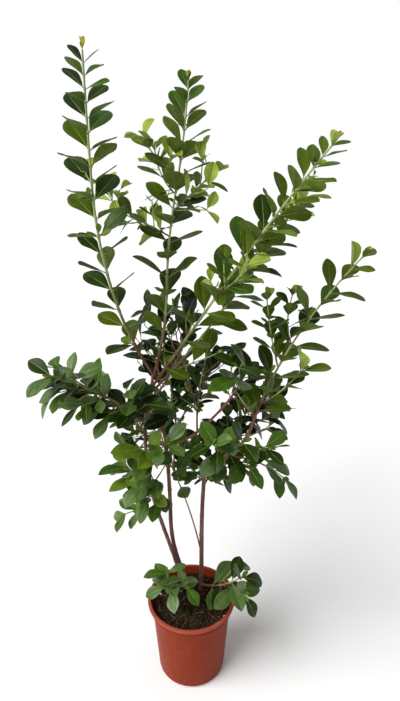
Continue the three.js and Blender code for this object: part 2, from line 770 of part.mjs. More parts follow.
for (let k = 0; k < NOTCHES; k++) {
  const box = new THREE.BoxGeometry(NOTCH_DEPTH * 2, NOTCH_WIDTH, NOTCH_HEIGHT * 2);
  box.translate(BODY_FOOT_RADIUS, 0, 0);
  box.rotateZ(radians(NOTCH_START + 360 * k / NOTCHES));
  pot = pot.subtract(solidFrom(box, (corner) => corner));
}

const origin = new THREE.Vector3();
plant.add(asMesh('pot', pot, origin, terracotta));

const soilOutline = [
  [0, FLOOR + GAP],
  [wallFoot - FOOT_ROUND + FLOOR - GAP, FLOOR + GAP],
  [wallFoot - GAP, FOOT_ROUND + GAP],
  [innerRadius(collarFoot) - GAP, collarFoot],
  [innerRadius(SOIL_TOP - SOIL_BEVEL) - GAP, SOIL_TOP - SOIL_BEVEL],
  [innerRadius(SOIL_TOP) - SOIL_BEVEL, SOIL_TOP],
  [0, SOIL_TOP],
];
plant.add(asMesh('soil', standing(turned(soilOutline)), origin, earth));

export default plant;
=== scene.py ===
import itertools
import math

import bpy
import numpy as np
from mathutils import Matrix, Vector


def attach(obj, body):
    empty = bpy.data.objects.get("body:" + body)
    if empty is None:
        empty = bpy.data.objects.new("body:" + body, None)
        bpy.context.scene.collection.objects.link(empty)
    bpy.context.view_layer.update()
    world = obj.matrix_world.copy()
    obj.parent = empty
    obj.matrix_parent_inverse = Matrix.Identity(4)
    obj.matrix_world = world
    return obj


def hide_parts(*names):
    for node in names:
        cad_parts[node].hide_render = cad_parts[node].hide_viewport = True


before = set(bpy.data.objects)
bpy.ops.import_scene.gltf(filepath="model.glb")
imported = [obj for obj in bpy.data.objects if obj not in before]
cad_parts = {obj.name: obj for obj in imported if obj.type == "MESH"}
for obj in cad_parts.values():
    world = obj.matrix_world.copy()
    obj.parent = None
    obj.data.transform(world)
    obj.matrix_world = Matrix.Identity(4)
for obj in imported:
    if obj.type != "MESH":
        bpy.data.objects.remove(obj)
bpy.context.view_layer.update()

# The plant grows by the same rule as the part's source, in millimetres, and its meshes are scaled to
# metres at the end. +X is to the viewer's right, +Y away from the viewer and +Z up.
MM = 0.001

# Pot
POT_HEIGHT = 178
RIM_RADIUS = 90
LIP_HEIGHT = 6
COLLAR_TOP_RADIUS = 86
COLLAR_FOOT_RADIUS = 84
COLLAR_HEIGHT = 24
BODY_TOP_RADIUS = 80
BODY_FOOT_RADIUS = 69
FOOT_ROUND = 9
WALL = 2.4
FLOOR = 3
NOTCHES = 6
NOTCH_START = -100
NOTCH_WIDTH = 24
NOTCH_HEIGHT = 5
SOIL_TOP = 164

# Clearances of the rule
GAP = 0.3
LIMB_MARGIN = 2.5
SPACE_MARGIN = 4
LEAF_MARGIN = 4.5
WOOD_MARGIN = 2.5
TWIG_MARGIN = 4
TWIG_PROBES = (0.3, 0.5, 0.7, 0.85, 1)
RIM_ZONE = (70, 95)
RIM_ZONE_TOP = 184
SOIL_MARGIN = 4

# Leaf of the rule
PETIOLE = 0.08
LEADER_LEAF = dict(width=0.56, rise=1.5, blunt=0.7)
SPRAY_LEAF = dict(width=0.5, rise=1.25, blunt=0.85)
FOLD = 0.22
SAMPLES = (0.32, 0.5, 0.68, 0.85)
OUTER_SAMPLES = 3
LEAF_UP = 0.8
LEAF_AHEAD = 0.6
LIGHT = (0, -0.35, 0)
DRIFT = (0, -0.12)
LEAST_BEND = 0.001

# Growth, where the table says nothing else
BARE = 0.12
CROWD = 0.1
SPREAD = (55, 42)
DROOP = 32
NODE_TURN = 10
LENGTH_RANGE = (0.9, 1.1)
SPREAD_TURN = 7
DROOP_TURN = 12
TWIST_TURN = 14
TRIES = ((0, 1), (24, 1), (-24, 1), (48, 0.9), (-48, 0.9), (0, 0.75))
BUD_SPREAD = 16
SIDE_FIRST = 0.15
SIDE_REACH = 0.7
SIDE_TURN = 65
SIDE_ANGLE = (45, 60)
SIDE_RANGE = (0.8, 1.15)
SIDE_TAPER = (1.1, 0.35)
SIDE_LIFT = 12
SIDE_BARE = 0.3
SIDE_PAIR_STEP = 20
SIDE_LAST_LEAF = 0.9

# Wood of the rule
FINE_STEPS = 48
LIMB_STEP = 40
LONG_BARE = 30
FLARE = 1.5
FLARE_HEIGHT = 12
FLARE_RINGS = (7, 15)
TWIG_SHARE = 0.75
TWIG_LEAST = 1.3
TWIG_TIP = 1

# Draws
SEED = 2051
MODULUS = 2147483647
MULTIPLIER = 48271

LIMBS = {
    "stem_left": dict(
        foot=(-14, 36), heading=(-174, -153, -129), lean=(14, 15, -4), length=425, radius=(4.2, 3.1),
    ),
    "stem_middle": dict(
        foot=(-4, 46), heading=(-178, -164, -152), lean=(24, 0, 4), length=370, radius=(4.5, 3.6),
    ),
    "stem_right": dict(
        foot=(21, 34), heading=(-100, -60, -50), lean=(1, 1, 7), length=310, radius=(4.8, 3.8),
    ),
    "bough_left": dict(
        on="stem_left", at=1, heading=(39, 46, 53), lean=(16, 16, 9), length=90, radius=(3.2, 2.8),
    ),
    "bough_middle": dict(
        on="stem_middle", at=1, heading=(-167, -176, -177), lean=(11, 31, -18), length=110,
        radius=(3.6, 2.9),
    ),
    "bough_right": dict(
        on="stem_right", at=1, heading=(-20, -11), lean=(63, 17), length=140, radius=(3.2, 2.4),
    ),
    "bough_centre": dict(
        on="stem_middle", at=0.96, heading=(-19, -15, -6), lean=(72, 42, 36), length=165,
        radius=(2.9, 2.1),
    ),
    "basal_branch_left": dict(
        on="stem_left", at=0.04, heading=(-95, -110), lean=(50, 70), length=32, radius=(2.4, 1.9),
    ),
    "basal_branch_right": dict(
        on="stem_right", at=0.04, heading=(-70, -40), lean=(55, 60), length=32, radius=(2.4, 1.9),
    ),
}

MASSES = {
    "leader_far_left": dict(
        on="bough_left", at=1, heading=(-162, -142, -83, -76), lean=(30, 15, 11, 12), length=520,
        radius=(2.7, 1.3), pairs=18, bare=0.13, crowd=0.45, leaf=(60, 62, 62, 56, 32), phase=-54,
        spread=(54, 54), droop=14, drift=(0.1, 0), bud=16,
    ),
    "leader_middle": dict(
        on="bough_left", at=0.9, heading=(30, 30, -10, -50), lean=(21, 2, 11, 7), length=490,
        radius=(2.6, 1.2), pairs=17, bare=0.1, crowd=0.35, leaf=(64, 64, 62, 58, 36), phase=60, turn=-45,
        spread=(56, 46), droop=16, drift=(0.05, -0.1), bud=14,
        twigs=[
            dict(at=0.66, heading=(160, 120), lean=(50, 15), length=80, pairs=4, leaf=(56, 40), young=1),
            dict(at=0.6, heading=(-10, 10), lean=(45, 50), length=90, pairs=5, leaf=(52, 38), young=1),
            dict(
                at=0.52, heading=(175, 170, 150), lean=(60, 70, 20), length=135, pairs=6, leaf=(54, 40),
                young=1,
            ),
        ],
    ),
    "leader_right_upper": dict(
        on="bough_middle", at=1, heading=(-22, -24, -8), lean=(34, 34, 38), length=520,
        radius=(2.7, 1.3), pairs=18, bare=0.11, crowd=0.35, leaf=(62, 66, 64, 54, 30), phase=62,
        spread=(54, 46), droop=14, drift=(0, -0.1), bud=12,
        twigs=[
            dict(at=0.45, heading=(-60, -20), lean=(60, 40), length=75, pairs=4, leaf=(46, 34), young=1),
        ],
    ),
    "leader_right_lower": dict(
        on="bough_middle", at=0.9, heading=(20, 16, 16), lean=(49, 37, 37), length=450,
        radius=(2.5, 1.2), pairs=15, bare=0.12, crowd=0.12, leaf=(60, 64, 60, 50), phase=40,
        spread=(54, 44), droop=20,
        twigs=[
            dict(at=0.14, heading=(0, -20), lean=(70, 60), length=90, pairs=4, leaf=(58, 52)),
        ],
    ),
    "leader_far_right": dict(
        on="bough_right", at=1, heading=(15, 2, -10), lean=(17, 30, 40), length=360, radius=(2.3, 1.1),
        pairs=12, bare=0.08, crowd=0.2, leaf=(60, 64, 62, 54, 36), phase=60, spread=(54, 46), droop=14,
        drift=(0.1, -0.1), bud=12,
        twigs=[
            dict(at=0.33, heading=(170, 150), lean=(16, 8), length=120, pairs=7, leaf=(44, 32)),
            dict(at=0.46, heading=(150, 20), lean=(24, 14), length=85, pairs=5, leaf=(42, 30)),
            dict(at=0.05, heading=(160, 150), lean=(45, 35), length=75, pairs=3, leaf=(58, 52)),
            dict(at=0.12, heading=(-10, 0), lean=(55, 35), length=95, pairs=3, leaf=(56, 52)),
        ],
    ),
    "spray_left": dict(
        on="stem_left", at=0.985, heading=(-135, -149, -155), lean=(35, 52, 62), length=210,
        radius=(2.4, 1.1), pairs=8, bare=0.12, crowd=0.1, leaf=(58, 62, 56, 50), phase=40,
        spread=(58, 42), flat=0.4,
        twigs=[
            dict(at=0.28, heading=(175, 160), lean=(62, 65), length=75, pairs=3, leaf=(54, 48)),
            dict(at=0.5, heading=(-110, -120), lean=(72, 80), length=60, pairs=2, leaf=(54, 48)),
            dict(at=0.66, heading=(170, 165), lean=(62, 55), length=65, pairs=3, leaf=(52, 46)),
        ],
    ),
    "spray_centre": dict(
        on="bough_centre", at=1, heading=(-15, -13), lean=(30, 25), length=68, radius=(2.0, 1.2),
        pairs=4, bare=0.1, crowd=0, leaf=(66, 60), phase=20, spread=(60, 45), sides=2, side_length=65,
    ),
    "spray_trunk": dict(
        on="stem_left", at=0.93, heading=(-110, -100), lean=(40, 25), length=110, radius=(1.9, 1.1),
        pairs=4, bare=0.25, leaf=(62, 56), phase=30, sides=2, side_length=60,
    ),
    "spray_core_high": dict(
        on="bough_middle", at=0.7, heading=(45, 20), lean=(50, 15), length=190, radius=(1.9, 1.1),
        pairs=7, bare=0.2, leaf=(70, 64), phase=0, sides=4, side_length=80,
    ),
    "spray_core_back": dict(
        on="stem_middle", at=0.97, heading=(60, 40), lean=(60, 50), length=150, radius=(2.0, 1.1),
        pairs=5, bare=0.3, leaf=(70, 62), phase=0, sides=3, side_length=90,
    ),
    "spray_core_mid": dict(
        on="bough_centre", at=0.45, heading=(95, 60), lean=(45, 30), length=150, radius=(1.9, 1.1),
        pairs=5, bare=0.25, leaf=(68, 62), phase=0, sides=2, side_length=85,
    ),
    "spray_low_left": dict(
        on="stem_left", at=0.52, heading=(-80, -105), lean=(25, 30), length=150, radius=(2.1, 1.1),
        pairs=5, bare=0.2, leaf=(64, 60), phase=20, sides=3, side_length=70,
    ),
    "spray_low_front": dict(
        on="stem_middle", at=0.82, heading=(-105, -110), lean=(45, 50), length=150, radius=(2.1, 1.1),
        pairs=5, bare=0.3, leaf=(64, 60), phase=0, sides=3, side_length=75,
    ),
    "spray_low_right": dict(
        on="bough_right", at=0.25, heading=(-75, -50), lean=(40, 45), length=110, radius=(2.0, 1.1),
        pairs=4, bare=0.2, leaf=(62, 56), phase=0, sides=3, side_length=70,
    ),
    "spray_low_far_right": dict(
        on="bough_right", at=0.42, heading=(-15, 0), lean=(85, 135), length=110, radius=(1.8, 1.1),
        pairs=4, bare=0.4, leaf=(52, 48), phase=45, flat=0.5, sides=1, side_length=50,
    ),
    "spray_low_tip": dict(
        on="stem_left", at=0.4, heading=(-165, -155), lean=(5, 100), length=105, radius=(1.8, 1.0),
        pairs=3, bare=0.5, leaf=(48, 44), phase=45, flat=0.5,
    ),
    "twig_low": dict(
        on="stem_right", at=0.3, heading=(-150, -130), lean=(10, 24), length=265, radius=(1.8, 1.1),
        pairs=4, bare=0.74, crowd=0, leaf=(60, 54), phase=0,
        twigs=[
            dict(at=0.84, heading=(-110, -100), lean=(25, 30), length=70, pairs=3, leaf=(60, 54)),
            dict(at=0.88, heading=(100, 90), lean=(45, 35), length=65, pairs=3, leaf=(58, 52)),
        ],
    ),
    "spray_back_left": dict(
        on="stem_middle", at=0.85, heading=(105, 110), lean=(60, 65), length=140, radius=(2.0, 1.1),
        pairs=4, bare=0.3, leaf=(60, 56), phase=0, sides=2, side_length=80,
    ),
    "spray_back_right": dict(
        on="bough_right", at=0.35, heading=(65, 65), lean=(70, 60), length=150, radius=(2.0, 1.1),
        pairs=4, bare=0.25, leaf=(60, 56), phase=0, sides=3, side_length=80,
    ),
    "spray_back_low": dict(
        on="stem_right", at=0.85, heading=(75, 75), lean=(100, 65), length=120, radius=(1.9, 1.1),
        pairs=4, bare=0.3, leaf=(60, 56), phase=0, sides=3, side_length=75,
    ),
    "basal_left": dict(
        on="basal_branch_left", at=1, heading=(-115, -150), lean=(60, 55), length=48, radius=(1.8, 1.2),
        pairs=3, bare=0.15, leaf=(56, 52), phase=45, spread=(75, 60), sides=2, side_length=40,
    ),
    "basal_right": dict(
        on="basal_branch_right", at=1, heading=(-45, -10), lean=(60, 48), length=90, radius=(1.8, 1.2),
        pairs=4, bare=0.12, leaf=(68, 60), phase=45, spread=(75, 55), sides=2, side_length=50,
    ),
}


class Draws:
    """The source's draws, which give both scripts the same plant."""

    def __init__(self, seed):
        self.state = seed

    def between(self, low, high):
        self.state = self.state * MULTIPLIER % MODULUS
        return low + (high - low) * self.state / MODULUS

    def chance(self, share):
        return self.between(0, 1) < share

    def one_of(self, choices):
        return choices[min(int(self.between(0, len(choices))), len(choices) - 1)]


def unit(v):
    return v / np.linalg.norm(v)


def direction(heading, lean):
    h = math.radians(heading)
    l = math.radians(lean)
    return np.array([math.cos(h) * math.sin(l), math.sin(h) * math.sin(l), math.cos(l)])


def angles_of(d):
    """The heading and the lean of a direction."""
    return math.degrees(math.atan2(d[1], d[0])), math.degrees(math.acos(min(max(d[2], -1), 1)))


def level_side(heading):
    """The level direction to the left of a heading."""
    h = math.radians(heading)
    return np.array([-math.sin(h), math.cos(h), 0])


def aside(t, side, phi, lean, flat=0):
    """A direction that leans off a stem's direction t, turned about it from side by phi."""
    out = unit(side * math.cos(phi) + np.cross(t, side) * math.sin(phi) * (1 - flat))
    return t * math.cos(lean) + out * math.sin(lean)


def blend(values, share):
    x = min(max(share, 0), 1) * (len(values) - 1)
    i = min(int(x), len(values) - 2)
    return values[i] + (values[i + 1] - values[i]) * (x - i)


def direction_at(spec, share):
    return direction(blend(spec["heading"], share), blend(spec["lean"], share))


def stem_line(start, spec):
    line = [np.array(start, float)]
    for k in range(FINE_STEPS):
        step = direction_at(spec, (k + 0.5) / FINE_STEPS)
        line.append(line[-1] + step * spec["length"] / FINE_STEPS)
    return line


def along(line, share):
    return blend(line, share)


def node_shares(spec):
    bare = spec.get("bare", BARE)
    crowd = spec.get("crowd", CROWD)
    end = 1 - spec.get("bud", 0) / spec["length"]
    shares = []
    for j in range(spec["pairs"]):
        s = j / (spec["pairs"] - 1)
        shares.append(bare + (end - bare) * (s * (1 + crowd) - crowd * s * s))
    return shares


def limb_shares(spec):
    count = max(3, int(spec["length"] / LIMB_STEP + 0.5))
    flare = [height / spec["length"] for height in FLARE_RINGS] if "foot" in spec else []
    return [0] + flare + [k / count for k in range(1, count + 1)]


def leafy_shares(spec, nodes):
    middle = [nodes[0] / 2] if nodes[0] * spec["length"] > LONG_BARE else []
    end = [1] if spec.get("bud") else []
    return [0] + middle + nodes + end


def sides_at(spec, shares):
    """A direction across the stem at each share, carried up it without turning about it."""
    side = level_side(spec["heading"][0])
    sides = []
    for share in shares:
        t = direction_at(spec, share)
        side = unit(side - t * (side @ t))
        sides.append(side)
    return sides


class Stem:
    def __init__(self, owner, start, spec, radius):
        self.owner = owner
        self.spec = spec
        self.radius = radius
        self.line = stem_line(start, spec)
        self.nodes = node_shares(spec) if "pairs" in spec else []
        self.shares = leafy_shares(spec, self.nodes) if self.nodes else limb_shares(spec)
        self.points = [along(self.line, share) for share in self.shares]
        self.sides = sides_at(spec, self.shares)

    def radius_at(self, share):
        return self.radius[0] + (self.radius[1] - self.radius[0]) * share


class Wood:
    """Every stem as straight pieces, which leaves and twigs keep clear of."""

    def __init__(self):
        self.starts = []
        self.ends = []
        self.radii = []
        self.owners = []

    def add(self, stem):
        for i in range(len(stem.points) - 1):
            self.starts.append(stem.points[i])
            self.ends.append(stem.points[i + 1])
            self.radii.append(max(stem.radius_at(stem.shares[i]), stem.radius_at(stem.shares[i + 1])))
            self.owners.append(stem.owner)

    def of(self, owner):
        return np.array([name == owner for name in self.owners])

    def of_limbs(self):
        return np.array([name in LIMBS for name in self.owners])

    def distances(self, points):
        """From each point, in rows, to each piece."""
        start = np.array(self.starts)
        run = np.array(self.ends) - start
        off = np.asarray(points)[:, None] - start
        share = np.clip((off * run).sum(-1) / (run * run).sum(-1), 0, 1)
        return np.linalg.norm(off - share[..., None] * run, axis=-1)


draws = Draws(SEED)
wood = Wood()
stems = {}


def root_of(spec):
    if "foot" in spec:
        return np.array([*spec["foot"], SOIL_TOP + GAP])
    return along(stems[spec["on"]].line, spec["at"])


def grow_main_stems():
    for name, spec in {**LIMBS, **MASSES}.items():
        stems[name] = Stem(name, root_of(spec), spec, spec["radius"])
        wood.add(stems[name])


def drawn_twig(spec, k):
    """One side twig: left and right in turn, leaning out from the main stem and rising again."""
    share = SIDE_FIRST + SIDE_REACH * (k + 0.5) / spec["sides"]
    t = direction_at(spec, share)
    side = level_side(blend(spec["heading"], share))
    phi = math.radians(180 * k + draws.between(-SIDE_TURN, SIDE_TURN))
    d = aside(t, side, -phi, math.radians(draws.between(*SIDE_ANGLE)), spec.get("flat", 0))
    heading, lean = angles_of(unit(d))
    length = spec["side_length"] * draws.between(*SIDE_RANGE) * (SIDE_TAPER[0] - SIDE_TAPER[1] * share)
    return dict(
        at=share, heading=(heading, heading), lean=(lean, lean - SIDE_LIFT), length=length,
        pairs=max(2, round(length / SIDE_PAIR_STEP)), bare=SIDE_BARE,
        leaf=(spec["leaf"][0], spec["leaf"][-1] * SIDE_LAST_LEAF),
    )


def twig_is_clear(stem):
    points = [along(stem.line, share) for share in TWIG_PROBES]
    room = wood.distances(points) - np.array(wood.radii)
    return room[:, ~wood.of(stem.owner)].min() >= TWIG_MARGIN


def grow_twigs():
    """The stems of each mass, its main one first."""
    grown = {}
    for name, spec in MASSES.items():
        main = stems[name]
        grown[name] = [main]
        twigs = list(spec.get("twigs", ())) + [drawn_twig(spec, k) for k in range(spec.get("sides", 0))]
        for twig in twigs:
            radius = max(main.radius_at(twig["at"]) * TWIG_SHARE, TWIG_LEAST)
            stem = Stem(name, along(main.line, twig["at"]), twig, (radius, TWIG_TIP))
            if twig_is_clear(stem):
                wood.add(stem)
                grown[name].append(stem)
    return grown


class Leaf:
    """A leaf bends down along an arc and is folded a little along its middle."""

    def __init__(self, stem, index, d, length, droop, twist):
        t = direction_at(stem.spec, stem.shares[index])
        self.stem = stem
        self.share = stem.shares[index]
        self.root = stem.points[index]
        self.length = length
        self.form = LEADER_LEAF if stem.owner.startswith("leader") else SPRAY_LEAF
        self.width = length * self.form["width"]
        self.d = unit(d)
        up = np.array([0, 0, LEAF_UP]) + t * LEAF_AHEAD + np.array(LIGHT)
        n = unit(up - self.d * (up @ self.d))
        side = np.cross(self.d, n)
        turn = math.radians(twist)
        self.n = n * math.cos(turn) + side * math.sin(turn)
        self.side = side * math.cos(turn) - n * math.sin(turn)
        self.bend = max(abs(math.radians(droop)), LEAST_BEND) * (-1 if droop < 0 else 1)

    def middle(self, s):
        s = np.asarray(s, float)[..., None]
        forward = np.sin(self.bend * s) / self.bend
        down = (1 - np.cos(self.bend * s)) / self.bend
        return self.root + self.length * (forward * self.d - down * self.n)

    def normal(self, s):
        s = np.asarray(s, float)[..., None]
        return np.cos(self.bend * s) * self.n + np.sin(self.bend * s) * self.d

    def half(self, s):
        u = np.clip((np.asarray(s, float) - PETIOLE) / (1 - PETIOLE), 0, 1)
        swell = np.clip(np.sin(np.pi * u ** self.form["rise"]), 0, None)
        return self.width / 2 * swell ** self.form["blunt"]

    def edge(self, s, sign):
        w = self.half(s)[..., None]
        return self.middle(s) + sign * w * self.side + FOLD * w * self.normal(s)

    def samples(self):
        rows = np.stack([self.middle(SAMPLES), self.edge(SAMPLES, 1), self.edge(SAMPLES, -1)], axis=1)
        return np.vstack([rows.reshape(-1, 3), self.middle(1)])


def clear_of_pot(point):
    r = math.hypot(point[0], point[1])
    if point[2] < SOIL_TOP + SOIL_MARGIN and r < RIM_ZONE[1]:
        return False
    if point[2] < RIM_ZONE_TOP and RIM_ZONE[0] < r < RIM_ZONE[1]:
        return False
    return point[2] > SOIL_MARGIN


def leaf_is_clear(points, owner, kept):
    """A leaf keeps off the pot and the limbs, stays nearer to its own wood than to any other mass,
    and clears its own twigs and the leaves before it."""
    if not all(clear_of_pot(point) for point in points):
        return False
    distance = wood.distances(points)
    own = distance[:, wood.of(owner)].min(1)
    limbs = wood.of_limbs()
    others = ~wood.of(owner) & ~limbs
    if (distance[:, limbs] - np.array(wood.radii)[limbs]).min() < LIMB_MARGIN:
        return False
    if own[OUTER_SAMPLES:].min() < WOOD_MARGIN:
        return False
    if (distance[:, others].min(1) - own).min() < SPACE_MARGIN:
        return False
    return all(np.linalg.norm(points[:, None] - other, axis=-1).min() >= LEAF_MARGIN for other in kept)


def grow_leaves(name, own_stems):
    spec = MASSES[name]
    leaves = []
    kept = []
    for order, stem in enumerate(own_stems):
        own = stem.spec
        spread = own.get("spread", spec.get("spread", SPREAD))
        droop = own.get("droop", spec.get("droop", DROOP))
        flat = own.get("flat", spec.get("flat", 0))
        drift = np.array([*spec.get("drift", DRIFT), 0])
        drawn = draws.between(0, 90) if order else 0
        phase = own.get("phase", drawn)
        for j, share in enumerate(stem.nodes):
            index = stem.shares.index(share)
            t = direction_at(own, share)
            part = j / (len(stem.nodes) - 1)
            base = phase + 90 * j + own.get("turn", 0) * part + draws.between(-NODE_TURN, NODE_TURN)
            for half in (0, 180):
                length = blend(own["leaf"], part) * draws.between(*LENGTH_RANGE)
                a = math.radians(blend(spread, part) + draws.between(-SPREAD_TURN, SPREAD_TURN))
                bend = droop + draws.between(-DROOP_TURN, DROOP_TURN)
                twist = draws.between(-TWIST_TURN, TWIST_TURN)
                for turn, size in TRIES:
                    d = aside(t, stem.sides[index], math.radians(base + half + turn), a, flat)
                    leaf = Leaf(stem, index, d + drift, length * size, bend, twist)
                    points = leaf.samples()
                    if leaf_is_clear(points, name, kept):
                        leaves.append(leaf)
                        kept.append(points)
                        break
    return leaves


def bud_leaves(stem, turn, size):
    """The last young pair of a leader, closed over its tip, turned and made smaller where asked."""
    if not stem.spec.get("bud"):
        return []
    t = direction_at(stem.spec, 1)
    pair = []
    for half in (0, 180):
        phi = math.radians(stem.spec["phase"] + 90 * len(stem.nodes) + half + turn)
        d = aside(t, stem.sides[-1], phi, math.radians(BUD_SPREAD * size))
        pair.append(Leaf(stem, len(stem.points) - 1, d, stem.spec["bud"] * size, 0, 0))
    return pair


# Finer growth, which only this script has: young pairs at the tips, short shoots in the forks, and
# fill twigs between the leaf pairs of some masses
LOOK_SEED = 7411
BUD_HEART = 0.6
TIP_LEAF = (12, 20)
TIP_SPREAD = 24
SMALL_STEM_BARE = 0.45
SMALL_STEM_RISE = 0.7
PAIR_TURN = (-8, 8)
PAIR_SIZE = (0.85, 1.1)
PAIR_DROOP = (5, 30)
PAIR_TWIST = (-15, 15)
SHOOT_CHANCE = 0.3
SHOOT_LENGTH = (8, 20)
SHOOT_LEAN = 48
SHOOT_LEAF = (12, 26)
SHOOT_SPREAD = 42
SHOOT_TAPER = 0.3
SHOOT_RADIUS = (1.1, 0.7)
SHOOT_SIDES = 5
BUSHY_TIPS = {"leader_right_upper": 0.78}
FILL_MASSES = (
    "spray_core", "spray_back", "spray_centre", "spray_trunk", "spray_low_left", "spray_low_front",
    "spray_left",
)
FAR_FILL_MASSES = ("spray_back", "spray_core")
YOUNG_FILL_MASSES = ("leader_middle", "leader_right_upper")
FILL_TRIES = 12
FILL_LEAST = 2
FILL_SIDE = (0.3, 0.2, 1)
FILL_LEAN = (40, 75)
FILL_LENGTH = (22, 50)
FILL_FAR = 68
FILL_LEAF = (40, 58)
YOUNG_FILL_LEAF = (26, 42)
FILL_SPREAD = 48
FILL_RADIUS = (1.2, 0.9)
YOUNG_WIDTH = 0.7
YOUNG_HALF = 0.5
YOUNG_SHOOTS_FROM = 0.75

# Leaf mesh
LEAF_ROWS = 12
LEAF_COLUMNS = (-1, -0.7, -0.38, 0.38, 0.7, 1)
SMALL_ROWS = 7
SMALL_LEAF = 30
RIB_HALF = 0.55
RIB_SHARE = 0.3
RIB_DEPTH = 0.35
RIB_DEEP_FROM = 5
RIB_MAP = 0.05
LEAF_THICKNESS = 0.4
THICK_FROM = 60
FOLD_RANGE = (0.08, 0.34)
YOUNG_FOLD = (0.5, 1.1)
CURL_RANGE = (0.02, 0.14)
WAVE_RANGE = (0.01, 0.07)
WAVES = (1.0, 2.2)
PETIOLE_RADIUS = (1.0, 0.18)
PETIOLE_SHARES = (0, 0.06, 0.12, 0.3, 0.55, 0.85)
PETIOLE_SIDES = 5
PETIOLE_SINKS = 0.1
STOUT_FROM = 55

# Stem meshes
TWIG_RING_STEP = 6
TWIG_SIDES = 8
NODE_SWELL = 0.28
NODE_REACH = 3
BARK_RING_STEP = 2.5
BARK_SIDES = 20
BARK_STREAKS = 9
BARK_RELIEF = 0.26
STREAK_TURN = (-0.16, 0.16)
STREAK_FADE = (0.02, 0.09)
SCAR_STEP = (26, 44)
SCAR_SWELL = 0.35
SCAR_REACH = 2
KNOT_COUNT = 5
KNOT_PLACE = (0.05, 0.95)
KNOT_SIZE = (2.5, 5)
KNOT_HEIGHT = (0.4, 1.1)
COLLAR_SWELL = 0.8
COLLAR_REACH = 7
FOOT_SUNK = 6

looks = Draws(LOOK_SEED)


class Shape:
    """The corners and faces of one piece, gathered before its mesh is made."""

    def __init__(self):
        self.points = []
        self.maps = []
        self.faces = {3: [], 4: []}
        self.slots = {3: [], 4: []}
        self.count = 0

    def add(self, points, faces, slots, maps=None):
        """faces is a list of (corner indices in rows, slot index or one for each face)."""
        points = np.asarray(points, float)
        self.points.append(points)
        self.maps.append(np.zeros((len(points), 2)) if maps is None else maps)
        for rows, slot in zip(faces, slots):
            rows = np.asarray(rows)
            if len(rows):
                self.faces[rows.shape[1]].append(rows + self.count)
                self.slots[rows.shape[1]].append(np.broadcast_to(slot, len(rows)))
        self.count += len(points)

    def mesh(self, name):
        points = np.concatenate(self.points) * MM
        maps = np.concatenate(self.maps)
        rows = [np.concatenate([np.zeros((0, n), int), *self.faces[n]]) for n in (3, 4)]
        slots = np.concatenate([*self.slots[3], *self.slots[4]])
        corners = np.concatenate([part.ravel() for part in rows])
        sizes = np.repeat([3, 4], [len(part) for part in rows])
        starts = np.cumsum(sizes) - sizes
        mesh = bpy.data.meshes.new(name)
        mesh.vertices.add(len(points))
        mesh.vertices.foreach_set("co", points.ravel())
        mesh.loops.add(len(corners))
        mesh.loops.foreach_set("vertex_index", corners)
        mesh.polygons.add(len(starts))
        mesh.polygons.foreach_set("loop_start", starts)
        mesh.polygons.foreach_set("material_index", slots)
        mesh.update(calc_edges=True)
        mesh.uv_layers.new(name="blade")
        mesh.uv_layers["blade"].data.foreach_set("uv", maps[corners].ravel())
        mesh.validate()
        return mesh


def turns_of(count):
    """The angles of the corners of a ring."""
    return np.arange(count) * math.tau / count


def closed_grid(rings, foot, top):
    """The corners of rings one above the other and of both ends' middles, and the faces: the wall,
    the fan at the foot and the fan at the top."""
    count, sides = rings.shape[:2]
    last = count * sides
    k = np.arange(sides)
    after = (k + 1) % sides
    low = np.arange(0, last - sides, sides)[:, None]
    high = low + sides
    wall = np.stack([low + k, low + after, high + after, high + k], axis=-1).reshape(-1, 4)
    foot_fan = np.stack([np.full(sides, last), after, k], axis=-1)
    top_fan = np.stack([np.full(sides, last + 1), last - sides + k, last - sides + after], axis=-1)
    return np.vstack([rings.reshape(-1, 3), foot, top]), [wall, foot_fan, top_fan]


def add_tube(shape, centers, radii, across, axes, sides, slots):
    """A closed tube through the centers. radii is one for each ring, or for each ring and side."""
    turn = turns_of(sides)[None, :, None]
    ring = np.cos(turn) * across[:, None] + np.sin(turn) * np.cross(axes, across)[:, None]
    radii = np.asarray(radii, float)
    radii = np.broadcast_to(radii if radii.ndim == 2 else radii[:, None], (len(centers), sides))
    points, faces = closed_grid(centers[:, None] + ring * radii[..., None], centers[0], centers[-1])
    slots = np.broadcast_to(slots, len(centers) - 1)
    shape.add(points, faces, [np.repeat(slots, sides), slots[0], slots[-1]])


def frames_along(spec, shares):
    axes = np.array([direction_at(spec, share) for share in shares])
    return axes, np.array(sides_at(spec, shares))


def leaf_sheet(leaf, s, drop, fold, curl, wave, waves, phase):
    """One row of corners for each s, from edge to edge, with the midrib in its groove. The sheet
    lies below the leaf's middle by drop."""
    half = leaf.half(s)[:, None]
    rib = np.minimum(RIB_HALF, half * RIB_SHARE)
    v = half * LEAF_COLUMNS
    across = np.concatenate([v[:, :3], -rib, rib, v[:, 3:]], axis=1)
    share = np.abs(across) / np.maximum(half, 1e-6)
    ripple = np.sin(math.tau * waves * s[:, None] + phase + 2 * np.sign(across))
    lift = fold * np.abs(across) - half * (curl * share ** 4 - wave * ripple * share ** 3)
    groove = np.isclose(np.abs(across), rib) * np.minimum(half / RIB_DEEP_FROM, 1)
    lift = lift - RIB_DEPTH * groove - drop * (1 - share ** 6)
    sides = across[..., None] * leaf.side + lift[..., None] * leaf.normal(s)[:, None]
    return leaf.middle(s)[:, None] + sides


